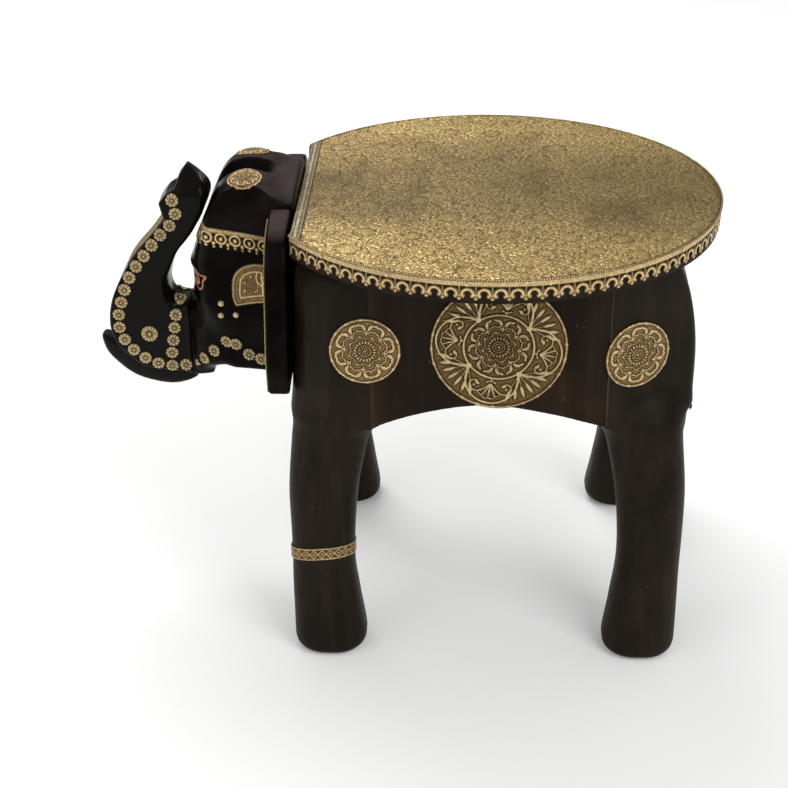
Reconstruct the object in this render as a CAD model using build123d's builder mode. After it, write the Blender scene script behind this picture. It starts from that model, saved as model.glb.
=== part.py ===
from build123d import *
from math import atan2, cos, degrees, floor, pi, radians, sin
import os

os.makedirs("parts", exist_ok=True)

# A carved elephant stool.  The head looks along -X, +Z is up, and the origin lies on the floor
# under the middle of the whole length.  "Left" is the elephant's own left, the -Y side.
# Lengths along X in the sizes below are counted from the middle of the seat, which stands at seat_x.

# ------------------------------------------------------------------ driving sizes, in millimetres
seat_x = 79.4                 # middle of the seat, from the middle of the whole length
seat_height = 404.0           # floor to the top of the brass sheet
seat_radius = 208.6           # round edge of the wooden board
seat_chord = 173.5            # middle of the seat to its straight front edge
sheet_thickness = 1.2
board_thickness = 20.8
border_width = 9.5            # embossed strip along the straight edge

wire_size = 2.0               # milled wire round the rim
lace_thickness = 1.4
lace_height = 17.0
lace_band = 5.0               # solid upper part of the lace
lace_pitch = 13.5
lace_opening = 8.4            # inside width of one horseshoe
lace_mouth = 4.6              # gap at the foot of one horseshoe

body_front = 174.0            # flat chest, ahead of the seat's middle
body_rear = 186.0             # flat rump, behind it
body_half_width = 146.0
body_half_rump = 102.0        # half width where the turned rear quarter meets the rump
quarter_start = 86.0          # where the flank starts to turn
shoulder_round = 38.0
quarter_round = 70.0
rump_round = 30.0
rump_lean = 24.0              # how far the top of the rump leans forward
back_round = 9.0              # rounding of the back under the seat

leg_line = 229.0              # foot of the body block, and spring of the belly arch
belly_rise = 24.0
chest_lift = 12.0             # chest and rump end this much above the leg line
post_front_seam = 102.5       # glue seam of the front leg posts
post_rear_seam = 104.0
post_inner = 72.0             # inner faces of the leg posts
haunch_height = 262.0         # top of the shaped part of a leg

foot_x = 144.5
foot_y = 138.0
foot_height = 13.0
foot_width = 67.0
sole_width = 50.0
ankle_height = 95.0
ankle_x = 150.5
ankle_y = 131.0
ankle_width = 58.0
knee_height = 155.0
knee_x = 149.5
knee_y = 122.0
knee_width = 63.0
hip_x = 139.0
hip_width = 73.0
haunch_draw = 14.0            # the leg's shaped part draws in by this much inside the body
leg_roundness = 0.44          # corner radius of a leg, as a share of its width
front_hip_y = 108.5
rear_hip_y = 99.0

head_half_width = 62.0
head_bottom = 240.0
chin_drop = 14.0              # how much lower the chin is at the face
head_front = 281.0            # brow, ahead of the seat's middle
head_turn = 248.0             # where the flat cheeks start to round into the face
head_gap = 0.6                # head to the seat's straight edge
dome_height = 427.0
dome_y = 36.0
valley_depth = 17.0           # from the domes down to the valley between them
brow_drop = 20.0              # brow below the headband
nape_drop = 9.0               # nape below the domes
temple_drop = 36.0            # where the cheeks start to round into the domes
band_drop = 70.0              # from the domes down to the foot of the headband
band_height = 22.0
band_rise = 7.5               # how much higher the band is at the temples than at the ears
band_fall = 1.2               # slope of its dip across the forehead
temple_back = 14.0            # the temples reach this far behind the turn of the face
temple_front = 9.0            # and this far ahead of it
band_thickness = 1.6

trunk_half_width = 22.0
trunk_edge = 2.8              # chamfer along the plank's rims
trunk_dowel_radius = 4.8
trunk_dowel_half_length = 16.0
lip_half_width = 14.0
tip_half_width = 6.0          # the trunk narrows to this at its tip
tip_start = 404.0             # where it starts to narrow

ear_front = 196.0
ear_thickness = 19.0
ear_reach = 137.0             # outermost edge of an ear
ear_top = 406.0
ear_bottom = 253.5
ear_dowel_radius = 4.0
ear_dowel_length = 22.0
edging_width = 5.0            # brass edging on the ear

tail_width = 24.0
tail_thickness = 14.0
tail_top = 352.0
tail_bottom = 146.0

medallion_height = 313.5
medallion_x = 8.0
medallion_radius = 60.0
medallion_thickness = 1.4
relief_height = 1.1           # raised rings over a medallion's ground
ring_width = 2.6
inner_ring = 0.51             # radius of the middle ring, as a share of the medallion's
small_medallion_radius = 31.4
small_front_x = -108.5
small_front_height = 308.0
small_rear_x = 129.5
rear_medallion_gap = 4.6      # between a haunch and the medallion above it
crown_radius = 16.5           # forehead medallions
crown_x = -221.0

rosette_radius = 5.8
rosette_thickness = 3.0
rosette_spacing = 13.0
daisy_radius = 8.2
stud_radius = 3.1
stud_shank = 0.9
stud_length = 9.0
trim_thickness = 1.4
trim_clearance = 0.1

anklet_height = 97.5          # middle of an anklet, at the middle of its leg
anklet_width = 12.0
anklet_tilt = 17.0            # degrees by which its outer side stands higher
anklet_lean = 5.0             # degrees by which its hind side stands higher
anklet_thickness = 1.3
anklet_clearance = 0.15

dowel_radius = 6.0
dowel_half_length = 30.0
dowel_clearance = 0.1
screw_radius = 2.2
screw_head_radius = 4.5
screw_length = 55.0
nail_radius = 0.8
nail_head_radius = 1.5
nail_length = 10.0

# ------------------------------------------------------------------ sizes that follow from these
board_top = seat_height - sheet_thickness
board_bottom = board_top - board_thickness
belly_top = leg_line + belly_rise
flank_slope = atan2(body_half_width - body_half_rump, body_rear - quarter_start)
valley_height = dome_height - valley_depth
band_bottom = dome_height - band_drop
small_rear_height = haunch_height + rear_medallion_gap + small_medallion_radius


def side_plane(y=0):
    """Upright plane at y: its first axis runs along X from the seat's middle, its second is the height."""
    return Plane(origin=(seat_x, y, 0), x_dir=(1, 0, 0), z_dir=(0, -1, 0))


def plan_plane(height):
    """Level plane: its axes are X from the seat's middle and Y."""
    return Plane(origin=(seat_x, 0, height), x_dir=(1, 0, 0), z_dir=(0, 0, 1))


def end_plane(x):
    """Upright plane across the stool at x from the seat's middle: its axes are Y and the height."""
    return Plane(origin=(seat_x + x, 0, 0), x_dir=(0, 1, 0), z_dir=(1, 0, 0))


def save(piece, name):
    """Label one sub-part and write its STEP file."""
    piece.label = name
    export_step(piece, f"parts/{name}.step")


def mirrored(piece):
    """The same sub-part on the other side of the stool."""
    return mirror(piece, about=Plane.XZ)


def save_pair(piece, name):
    """A left sub-part and its mirror image on the right."""
    save(piece, f"{name}_left")
    save(mirrored(piece), f"{name}_right")


# ------------------------------------------------------------------ seat: board, sheet and trims
def seat_outline(radius, front):
    """A disc cut off straight at the front, in the current sketch."""
    Circle(radius)
    with Locations((-front, 0)):
        Rectangle(2 * radius, 2 * radius, align=(Align.MAX, Align.CENTER), mode=Mode.SUBTRACT)


screw_places = [(-140, 0), (-60, 105), (-60, -105), (60, 105), (60, -105), (130, 0)]

with BuildPart() as seat_board:
    with BuildSketch(plan_plane(board_bottom)):
        seat_outline(seat_radius, seat_chord)
    extrude(amount=board_thickness)
    with Locations(plan_plane(board_top)):
        with Locations(*screw_places):
            CounterSinkHole(screw_radius + dowel_clearance, screw_head_radius + dowel_clearance)

with BuildPart() as seat_sheet:
    with BuildSketch(plan_plane(board_top)):
        seat_outline(seat_radius, seat_chord - border_width)
    extrude(amount=sheet_thickness)

with BuildPart() as seat_border:
    with BuildSketch(plan_plane(board_top)):
        seat_outline(seat_radius, seat_chord)
        with Locations((border_width - seat_chord, 0)):
            Rectangle(3 * seat_radius, 3 * seat_radius, align=(Align.MIN, Align.CENTER),
                      mode=Mode.SUBTRACT)
    extrude(amount=sheet_thickness)

with BuildPart() as seat_wire:
    with BuildSketch(plan_plane(seat_height - wire_size)):
        seat_outline(seat_radius + wire_size, seat_chord)
        Circle(seat_radius, mode=Mode.SUBTRACT)
    extrude(amount=wire_size)

lace_top = seat_height - wire_size
lace_bottom = lace_top - lace_height
lace_arc = 360 - 2 * degrees(atan2((seat_radius**2 - seat_chord**2) ** 0.5, seat_chord))
lace_count = floor(radians(lace_arc) * seat_radius / lace_pitch)
lace_step = lace_arc / lace_count
lace_angles = [lace_step * (i + 0.5) - lace_arc / 2 for i in range(lace_count)]

with BuildPart() as seat_lace:
    with BuildSketch(plan_plane(lace_bottom)):
        seat_outline(seat_radius + lace_thickness, seat_chord)
        Circle(seat_radius, mode=Mode.SUBTRACT)
    extrude(amount=lace_height)
    horseshoes = [
        Plane(origin=(seat_x, 0, lace_top - lace_band - lace_opening / 2),
              x_dir=(-sin(radians(a)), cos(radians(a)), 0), z_dir=(cos(radians(a)), sin(radians(a)), 0))
        .offset(seat_radius - lace_thickness)
        for a in lace_angles
    ]
    with BuildSketch(*horseshoes):
        Circle(lace_opening / 2)
        Rectangle(lace_mouth, lace_height, align=(Align.CENTER, Align.MAX))
    extrude(amount=3 * lace_thickness, mode=Mode.SUBTRACT)

nail_every = 5
first_nail = 3
nail_planes = [
    Plane(origin=(seat_x, 0, lace_top - lace_band / 2),
          x_dir=(-sin(radians(a)), cos(radians(a)), 0), z_dir=(cos(radians(a)), sin(radians(a)), 0))
    .offset(seat_radius + lace_thickness)
    for a in lace_angles[first_nail::nail_every]
]
with BuildPart() as lace_nails:
    with BuildSketch(*nail_planes):
        Circle(nail_head_radius)
    extrude(amount=nail_radius)
    with BuildSketch(*nail_planes):
        Circle(nail_radius)
    extrude(amount=-nail_length)

with BuildPart() as nail_holes:
    with BuildSketch(*nail_planes):
        Circle(nail_radius)
    extrude(amount=-nail_length)

with BuildPart() as seat_board_drilled:
    add(seat_board.part)
    add(nail_holes.part, mode=Mode.SUBTRACT)

with BuildPart() as seat_lace_drilled:
    add(seat_lace.part)
    add(nail_holes.part, mode=Mode.SUBTRACT)

# ------------------------------------------------------------------ body block and leg posts
with BuildPart() as body_blank:
    with BuildSketch(plan_plane(leg_line)) as body_plan:
        with BuildLine():
            Polyline((-body_front, -body_half_width), (quarter_start, -body_half_width),
                     (body_rear, -body_half_rump), (body_rear, body_half_rump),
                     (quarter_start, body_half_width), (-body_front, body_half_width), close=True)
        make_face()
        fillet(body_plan.vertices().group_by(Axis.X)[0], shoulder_round)
        fillet(body_plan.vertices().sort_by(Axis.X)[-2:], rump_round)
        turned = [v for v in body_plan.vertices() if abs(v.X - seat_x - quarter_start) < 1]
        fillet(turned, quarter_round)
    extrude(amount=board_bottom - leg_line)
    with BuildSketch(side_plane()):
        with BuildLine():
            top = (body_rear - rump_lean, board_bottom)
            foot = (body_rear, leg_line)
            shoulder = (body_rear - rump_lean / 6, (board_bottom + leg_line) / 2)
            ThreePointArc(top, shoulder, foot)
            Polyline(foot, (body_rear + rump_lean, leg_line), (body_rear + rump_lean, board_bottom), top)
        make_face()
    extrude(amount=2 * body_half_width, both=True, mode=Mode.SUBTRACT)
    flank_tops = [e for e in body_blank.edges().group_by(Axis.Z)[-1]
                  if abs(e.center().Y) > body_half_width - back_round and e.length > 2 * quarter_round]
    fillet(flank_tops, back_round)


def post_region(front, side):
    """The corner of the body blank that one leg post takes up: front is -1 or 1 along X, side along Y."""
    seam = post_front_seam if front < 0 else post_rear_seam
    with BuildPart() as region:
        with BuildSketch(plan_plane(0)):
            with Locations((front * seam, side * post_inner)):
                align = (Align.MAX if front < 0 else Align.MIN, Align.MAX if side < 0 else Align.MIN)
                Rectangle(2 * body_rear, 2 * body_rear, align=align)
        extrude(amount=board_bottom)
    return region.part


dowel_heights = (leg_line + 38, leg_line + 112)
dowel_y = (post_inner + body_half_width) / 2 - 4
dowel_seams = [(-post_front_seam, s * dowel_y, h) for s in (-1, 1) for h in dowel_heights]
dowel_seams += [(post_rear_seam, s * (dowel_y - 10), h) for s in (-1, 1) for h in dowel_heights]


def dowel_set(places, radius, half_length):
    """Round pins along X, each centred on a place (x from the seat's middle, y, height)."""
    with BuildPart() as pins:
        for x, y, height in places:
            with BuildSketch(end_plane(x)):
                with Locations((y, height)):
                    Circle(radius)
            extrude(amount=half_length, both=True)
    return pins.part


leg_dowels = dowel_set(dowel_seams, dowel_radius, dowel_half_length)
leg_dowel_holes = dowel_set(dowel_seams, dowel_radius + dowel_clearance,
                            dowel_half_length + dowel_clearance)

neck_foot = max(head_bottom, leg_line + chest_lift)
head_dowel_heights = [neck_foot + (board_bottom - neck_foot) * share for share in (0.3, 0.75)]
head_dowel_places = [(-body_front, y, height) for y in (-34, 34) for height in head_dowel_heights]
head_dowels = dowel_set(head_dowel_places, dowel_radius, dowel_half_length)
head_dowel_holes = dowel_set(head_dowel_places, dowel_radius + dowel_clearance,
                             dowel_half_length + dowel_clearance)

with BuildPart() as screw_holes:
    with BuildSketch(plan_plane(board_top)):
        with Locations(*screw_places):
            Circle(screw_radius)
    extrude(amount=-screw_length)

with BuildPart() as torso:
    add(body_blank.part)
    for front in (-1, 1):
        for side in (-1, 1):
            add(post_region(front, side), mode=Mode.SUBTRACT)
    with BuildSketch(side_plane()):                               # belly arch, right across the body
        with BuildLine():
            ThreePointArc((-post_front_seam, leg_line), (0, belly_top), (post_rear_seam, leg_line))
            Line((post_rear_seam, leg_line), (-post_front_seam, leg_line))
        make_face()
    extrude(amount=2 * body_half_width, both=True, mode=Mode.SUBTRACT)
    with BuildSketch(side_plane()):                               # chest and rump end above the leg line
        with Locations((-post_front_seam, leg_line)):
            Rectangle(body_front, chest_lift, align=(Align.MAX, Align.MIN))
        with Locations((post_rear_seam, leg_line)):
            Rectangle(body_rear, chest_lift, align=(Align.MIN, Align.MIN))
    extrude(amount=2 * body_half_width, both=True, mode=Mode.SUBTRACT)
    add(leg_dowel_holes, mode=Mode.SUBTRACT)
    add(head_dowel_holes, mode=Mode.SUBTRACT)
    add(screw_holes.part, mode=Mode.SUBTRACT)


def leg_shape(front, side, grow):
    """The shaped part of a leg, from above the bevelled sole to inside the body.  grow swells it evenly."""
    hip_y = front_hip_y if front < 0 else rear_hip_y
    sections = [
        (foot_height, foot_x, foot_y, foot_width),
        (ankle_height, ankle_x, ankle_y, ankle_width),
        (knee_height, knee_x, knee_y, knee_width),
        (leg_line, hip_x, hip_y, hip_width),
        (haunch_height, hip_x, hip_y - haunch_draw / 2, hip_width - haunch_draw),
    ]
    with BuildPart() as shape:
        for height, x, y, width in sections:
            with BuildSketch(plan_plane(height)):
                with Locations((front * x, side * y)):
                    RectangleRounded(width + 2 * grow, width + 2 * grow, width * leg_roundness)
        loft()
    return shape.part


def leg(front, side):
    """One full-height leg post: a shaped leg below, and above it the body's corner."""
    with BuildPart() as post:
        add(leg_shape(front, side, 0))
        for height, width in ((0, sole_width), (foot_height, foot_width)):
            with BuildSketch(plan_plane(height)):
                with Locations((front * foot_x, side * foot_y)):
                    RectangleRounded(width, width, width * leg_roundness)
        loft(ruled=True)
        add(body_blank.part & post_region(front, side))
        add(torso.part, mode=Mode.SUBTRACT)
        add(leg_dowel_holes, mode=Mode.SUBTRACT)
        add(screw_holes.part, mode=Mode.SUBTRACT)
    return post.part


legs = {
    "leg_front_left": leg(-1, -1),
    "leg_front_right": leg(-1, 1),
    "leg_rear_left": leg(1, -1),
    "leg_rear_right": leg(1, 1),
}

with BuildPart() as seat_screws:
    with BuildSketch(plan_plane(board_top)):
        with Locations(*screw_places):
            Circle(screw_radius)
    extrude(amount=-screw_length)
    for x, y in screw_places:
        with Locations((seat_x + x, y, board_top)):
            Cone(screw_radius, screw_head_radius, screw_head_radius - screw_radius,
                 align=(Align.CENTER, Align.CENTER, Align.MAX))


# ------------------------------------------------------------------ head
def head_shape(grow):
    """The head as three outlines cut through each other: plan, side and front.  grow swells it evenly."""
    half = head_half_width + grow
    nose = head_front + grow
    back = body_front
    crown = dome_height + grow
    with BuildPart() as shape:
        with BuildSketch(plan_plane(0)):                          # flat cheeks and a rounded face
            with BuildLine():
                EllipticalCenterArc((-head_turn, 0), nose - head_turn, half, start_angle=90, arc_size=180)
                Polyline((-head_turn, -half), (-back, -half), (-back, half), (-head_turn, half))
            make_face()
        extrude(amount=2 * dome_height)
        with BuildSketch(side_plane()):                           # chin, face, brow, forehead and crown
            with BuildLine():
                brow = (-nose, band_bottom - brow_drop)
                nape = (-back, crown - nape_drop)
                Polyline(nape, (-back, head_bottom), (-head_turn, head_bottom),
                         (-nose, head_bottom - chin_drop), brow)
                Spline(brow, (13 - nose, band_bottom + 8), (24 - nose, band_bottom + 38),
                       (45 - nose, crown - 5), (crown_x + 4, crown), nape)
            make_face()
        extrude(amount=2 * half, both=True, mode=Mode.INTERSECT)
        with BuildSketch(end_plane(-back)):                       # two domes with a valley between
            with BuildLine():
                dome = (dome_y, crown)
                cheek_top = (half, crown - temple_drop)
                valley = (0, valley_height + grow)
                Polyline(valley, (0, 0), (half, 0), cheek_top)
                ThreePointArc(cheek_top, (half - 7, crown - 13), dome)
                ThreePointArc(dome, (dome_y / 2.4, crown - 5), valley)
            make_face()
            mirror(about=Plane.YZ)
        extrude(amount=back - nose - 20, mode=Mode.INTERSECT)
    return shape.part


head_solid = head_shape(0)

band_reach = 2 * (head_front - head_turn)

with BuildPart() as headband:                                     # rises from the ears, and dips at the brow
    add(head_shape(band_thickness))
    add(head_solid, mode=Mode.SUBTRACT)
    with BuildSketch(side_plane()):
        with BuildLine():
            band_crest = band_bottom + band_rise
            band_foot = [(-ear_front - head_gap, band_bottom), (temple_back - head_turn, band_crest),
                         (-temple_front - head_turn, band_crest),
                         (-temple_front - head_turn - band_reach, band_crest - band_fall * band_reach)]
            band_head = [(x, height + band_height) for x, height in reversed(band_foot)]
            Polyline(*band_foot, *band_head, close=True)
        make_face()
    extrude(amount=2 * head_half_width, both=True, mode=Mode.INTERSECT)

# ------------------------------------------------------------------ ears, one slab each side
ear_back = ear_front - ear_thickness
ear_inner = head_half_width


def ear_outline():
    """The left ear seen from the front.  Its axes are Y and the height."""
    with BuildSketch() as outline:
        with BuildLine():
            Polyline((-ear_inner, ear_bottom + 30), (-ear_inner, ear_top), (-ear_inner - 14, ear_top - 1))
            Spline((-ear_inner - 14, ear_top - 1), (-ear_reach + 35, ear_top - 7), (-ear_reach + 20, ear_top - 20),
                   (-ear_reach + 9, ear_top - 50), (-ear_reach, ear_bottom + 40), (-ear_reach + 4, ear_bottom + 4))
            Polyline((-ear_reach + 4, ear_bottom + 4), (-ear_reach + 12, ear_bottom),
                     (-ear_inner - 30, ear_bottom + 6), (-ear_inner, ear_bottom + 30))
        make_face()
    return outline.sketch


ear_dowel_x = -(ear_front + ear_back) / 2
ear_dowel_heights = [ear_bottom + (ear_top - ear_bottom) * share for share in (0.4, 0.8)]


def ear_pins(radius, length):
    """Pins along Y through each cheek into the ear beside it."""
    with BuildPart() as pins:
        for side in (-1, 1):
            with BuildSketch(side_plane(side * head_half_width)):
                with Locations(*[(ear_dowel_x, height) for height in ear_dowel_heights]):
                    Circle(radius)
            extrude(amount=length, both=True)
    return pins.part


ear_dowels = ear_pins(ear_dowel_radius, ear_dowel_length)
ear_dowel_holes = ear_pins(ear_dowel_radius + dowel_clearance, ear_dowel_length + dowel_clearance)

with BuildPart() as ear_left:
    with BuildSketch(end_plane(-ear_back)):
        add(ear_outline())
    extrude(amount=-ear_thickness)
    add(ear_dowel_holes, mode=Mode.SUBTRACT)

ear_inside = Pos(edging_width, -edging_width / 2) * ear_outline()

with BuildPart() as ear_trim_left:                                # brass edging on the ear's front face
    with BuildSketch(end_plane(-ear_front)):
        add(ear_outline())
        add(ear_inside, mode=Mode.SUBTRACT)
        with Locations((-ear_inner - 14, 0)):
            Rectangle(2 * ear_reach, 3 * ear_top, align=(Align.MIN, Align.CENTER), mode=Mode.SUBTRACT)
        with Locations((0, ear_bottom + 8)):
            Rectangle(4 * ear_reach, ear_top, align=(Align.CENTER, Align.MAX), mode=Mode.SUBTRACT)
    extrude(amount=-trim_thickness)

# ------------------------------------------------------------------ trunk, cut from one plank
face = -head_front                                                # where the trunk meets the head
crook = (face - 9, 295)
tip = (face + 3.6, 427.2)
notch = (face - 19.5, 377)
throat = (face - 21, 221.5)


def trunk_outline():
    """The trunk from the side: its root at the face, the crook, the tip, then round the outer bend."""
    with BuildSketch() as outline:
        with BuildLine():
            Polyline((face + 20, throat[1]), (face + 20, crook[1]), crook)
            Spline(crook, (face - 18, 303), (face - 19, 319), (face - 9.5, 343), (face + 1, 357),
                   (face + 10, 371), (face + 18, 385), (face + 21.5, 400), (face + 14.5, 416), tip)
            Polyline(tip, (face - 4, 417), (face - 7.5, 407), (face - 16, 401.5), (face - 23, 393), notch)
            Spline(notch, (face - 33, 359.5), (face - 49, 341), (face - 63, 319.5), (face - 73.5, 294.5),
                   (face - 77.5, 274), (face - 74.5, 256), (face - 64, 240), (face - 46, 227.5), throat)
            Line(throat, (face + 20, throat[1]))
        make_face()
    return outline.sketch


with BuildPart() as head_and_below:                               # the head, and the space under its chin
    add(head_solid)
    with BuildSketch(plan_plane(0)):
        with Locations((face, 0)):
            Rectangle(2 * head_front, 4 * head_half_width, align=(Align.MIN, Align.CENTER))
    extrude(amount=head_bottom)


with BuildPart() as trunk:
    with BuildSketch(side_plane()):
        add(trunk_outline())
    extrude(amount=trunk_half_width, both=True)
    chamfer(trunk.faces().filter_by(Axis.Y).edges(), trunk_edge)
    with BuildSketch(end_plane(face)):                            # from the front, the tip narrows on both sides
        with BuildLine():
            side = (trunk_half_width, tip_start)
            top = (tip_half_width, tip[1])
            Polyline((0, tip[1]), (0, 0), (trunk_half_width, 0), side)
            ThreePointArc(side, (0.76 * trunk_half_width, (tip_start + tip[1]) / 2), top)
            Line(top, (0, tip[1]))
        make_face()
        mirror(about=Plane.YZ)
    extrude(amount=head_front, both=True, mode=Mode.INTERSECT)
    add(head_and_below.part, mode=Mode.SUBTRACT)

trunk_dowel_places = [(face + 4, 0, height) for height in (255, 282)]
trunk_dowels = dowel_set(trunk_dowel_places, trunk_dowel_radius, trunk_dowel_half_length)
trunk_dowel_holes = dowel_set(trunk_dowel_places, trunk_dowel_radius + dowel_clearance,
                              trunk_dowel_half_length + dowel_clearance)

with BuildPart() as trunk_drilled:
    add(trunk.part)
    add(trunk_dowel_holes, mode=Mode.SUBTRACT)

with BuildPart() as lower_lip:
    with BuildSketch(side_plane()):
        with BuildLine():
            beak = (face - 83, 256)
            heel = (face, 212)
            Spline(beak, (face - 88.5, 249.5), (face - 82, 235.5), (face - 70, 222.5), (face - 54, 212.5),
                   (face - 36, 207), (face - 18, 206), heel)
            Polyline(heel, (face, throat[1] + trunk_edge), (face - 58, 247), beak)
        make_face()
    extrude(amount=lip_half_width, both=True)
    add(trunk.part, mode=Mode.SUBTRACT)
    add(head_solid, mode=Mode.SUBTRACT)



def lifted_outline(height):
    """The trunk's outline moved off the wood by this height, square to its straight front."""
    return Pos(-0.76 * height, 0.65 * height) * trunk_outline()


with BuildPart() as trunk_strip:                                  # embossed strip down the front of the trunk
    with BuildSketch(side_plane()):
        add(lifted_outline(trim_clearance + trim_thickness))
        add(lifted_outline(trim_clearance), mode=Mode.SUBTRACT)
        with Locations((face - 20, 0)):
            Rectangle(4 * head_front, 3 * seat_height, align=(Align.MIN, Align.CENTER), mode=Mode.SUBTRACT)
        with Locations((face, 330)):
            Rectangle(4 * head_front, seat_height, align=(Align.CENTER, Align.MAX), mode=Mode.SUBTRACT)
        with Locations((face, 375)):
            Rectangle(4 * head_front, seat_height, align=(Align.CENTER, Align.MIN), mode=Mode.SUBTRACT)
    extrude(amount=trunk_half_width - trunk_edge - 4, both=True)

# ------------------------------------------------------------------ tail
with BuildPart() as tail:
    with BuildSketch(side_plane()):
        with BuildLine():
            rump = (body_rear - rump_lean, tail_top)
            Spline(rump, (body_rear + 2, tail_top - 42), (body_rear + tail_thickness, leg_line + 12),
                   (body_rear + tail_thickness - 1, leg_line - 40), (body_rear + 8, tail_bottom))
            Polyline((body_rear + 8, tail_bottom), (body_rear - 2, tail_bottom + 4))
            Spline((body_rear - 2, tail_bottom + 4), (body_rear + 1, leg_line - 40),
                   (body_rear - 1, leg_line + chest_lift), tangents=((0.1, 1), (-0.2, 1)))
            Polyline((body_rear - 1, leg_line + chest_lift), (body_rear - rump_lean, leg_line + 30), rump)
        make_face()
    extrude(amount=tail_width / 2, both=True)
    add(body_blank.part, mode=Mode.SUBTRACT)
    with BuildSketch(side_plane()):                               # keeps the free end clear of the rump block
        with Locations((body_rear - 3, leg_line + 2 * chest_lift)):
            Rectangle(body_rear, body_rear, align=(Align.MAX, Align.MAX))
    extrude(amount=tail_width, both=True, mode=Mode.SUBTRACT)

# ------------------------------------------------------------------ brass medallions on the flanks
quarter_plane = Plane(
    origin=(seat_x + small_rear_x,
            -body_half_width + (small_rear_x - quarter_start) * sin(flank_slope) / cos(flank_slope), 0),
    x_dir=(cos(flank_slope), sin(flank_slope), 0), z_dir=(sin(flank_slope), -cos(flank_slope), 0))


def medallion(plane, x, height, radius):
    """A pressed disc with a raised rim, a raised middle ring and a boss."""
    with BuildPart() as disc:
        with BuildSketch(plane):
            with Locations((x, height)):
                Circle(radius)
        extrude(amount=medallion_thickness)
        with BuildSketch(plane.offset(medallion_thickness)):
            with Locations((x, height)):
                Circle(radius)
                Circle(radius - ring_width, mode=Mode.SUBTRACT)
                Circle(radius * inner_ring + ring_width / 2)
                Circle(radius * inner_ring - ring_width / 2, mode=Mode.SUBTRACT)
                Circle(radius * 0.1)
        extrude(amount=relief_height)
    return disc.part


flank_plane = side_plane(-body_half_width)
large_medallion = medallion(flank_plane, medallion_x, medallion_height, medallion_radius)
front_medallion = medallion(flank_plane, small_front_x, small_front_height, small_medallion_radius)
rear_medallion = medallion(quarter_plane, 0, small_rear_height, small_medallion_radius)

# ------------------------------------------------------------------ trims on the head
with BuildPart() as crown_medallion:                              # one on each dome
    add(head_shape(trim_thickness))
    add(head_solid, mode=Mode.SUBTRACT)
    with BuildSketch(plan_plane(valley_height - 8)):
        with Locations((crown_x, -dome_y)):
            Circle(crown_radius)
    extrude(amount=dome_height, mode=Mode.INTERSECT)

with BuildPart() as cheek_paisley:
    with BuildSketch(side_plane(-head_half_width)):
        with BuildLine():
            point = (-230.7, 311)
            hind = -ear_front - 1.5
            Spline(point, (-233.6, 327), (-232, 340), (-225, 349), (-214, 353), (hind, 349))
            Line((hind, 349), (hind, 315))
            Spline((hind, 315), (-212, 314), point)
        make_face()
    extrude(amount=trim_thickness)

stud_places = [(-244.5, 313), (-245.5, 300), (-231.5, 301)]


def stud_shanks(radius):
    """The shanks of the dome-headed studs in the left cheek."""
    with BuildPart() as shanks:
        with BuildSketch(side_plane(-head_half_width)):
            with Locations(*stud_places):
                Circle(radius)
        extrude(amount=-stud_length)
    return shanks.part


with BuildPart() as cheek_studs:
    for x, height in stud_places:
        with Locations((seat_x + x, -head_half_width + 0.2, height)):
            Sphere(stud_radius)
    add(head_solid, mode=Mode.SUBTRACT)
    add(stud_shanks(stud_shank))
    with BuildSketch(side_plane(-head_half_width - stud_radius * 0.6)):
        Rectangle(4 * head_front, 4 * seat_height)
    extrude(amount=stud_radius, mode=Mode.SUBTRACT)


# ------------------------------------------------------------------ rosettes
def rosettes(places, radius):
    """Pressed studs.  Each place is a point on the wood and the direction that the stud faces."""
    with BuildPart() as studs:
        for point, facing in places:
            plane = Plane(origin=(seat_x + point[0], point[1], point[2]), z_dir=facing)
            with BuildSketch(plane.offset(-rosette_thickness)):
                Circle(radius)
            extrude(amount=1.6 * rosette_thickness)
            with BuildSketch(plane.offset(0.6 * rosette_thickness)):
                Circle(radius * 0.62)
            extrude(amount=0.4 * rosette_thickness)
        add(head_solid, mode=Mode.SUBTRACT)
        add(trunk.part, mode=Mode.SUBTRACT)
    return studs.part


outward = (0, -1, 0)
chain_path = Spline(
    (face - 9, 398), (face - 6.5, 387), (face - 11, 376), (face - 20, 366), (face - 38, 344),
    (face - 54, 321), (face - 64, 294), (face - 67.5, 274), (face - 62, 255), (face - 44, 238),
    (face - 19, 230), (face - 6, 231))
chain_count = floor(chain_path.length / rosette_spacing)
chain_places = []
for i in range(chain_count + 1):
    spot = chain_path.position_at(i * chain_path.length / chain_count, position_mode=PositionMode.LENGTH)
    chain_places.append(((spot.X, -trunk_half_width, spot.Y), outward))

column_places = [
    ((face - 18.5 + 0.15 * i * rosette_spacing, -trunk_half_width, 244 + i * rosette_spacing), outward)
    for i in range(4)
]
column_places.append(((crook[0] - 1, -0.55 * trunk_half_width, crook[1]), (0, 0, 1)))
daisy_places = [((face - 39, -trunk_half_width, 263.5), outward)]


def on_cheek(share, height):
    """A point on the rounded part of the left cheek and its outward direction, share of the way round."""
    turn = share * pi / 2
    depth = head_front - head_turn
    point = (-head_turn - depth * sin(turn), -head_half_width * cos(turn), height)
    return point, (-sin(turn) / depth, -cos(turn) / head_half_width, 0)


cheek_places = [((x, -head_half_width, height), outward)
                for x, height in ((-210.5, 254), (-223, 258), (-235, 264), (-247.5, 267))]
cheek_places += [on_cheek(0.2, 262), on_cheek(0.38, 253), on_cheek(0.56, 243)]

trunk_rosettes = rosettes(chain_places + column_places, rosette_radius)
trunk_daisy = rosettes(daisy_places, daisy_radius)
cheek_rosettes = rosettes(cheek_places, rosette_radius)

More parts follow.
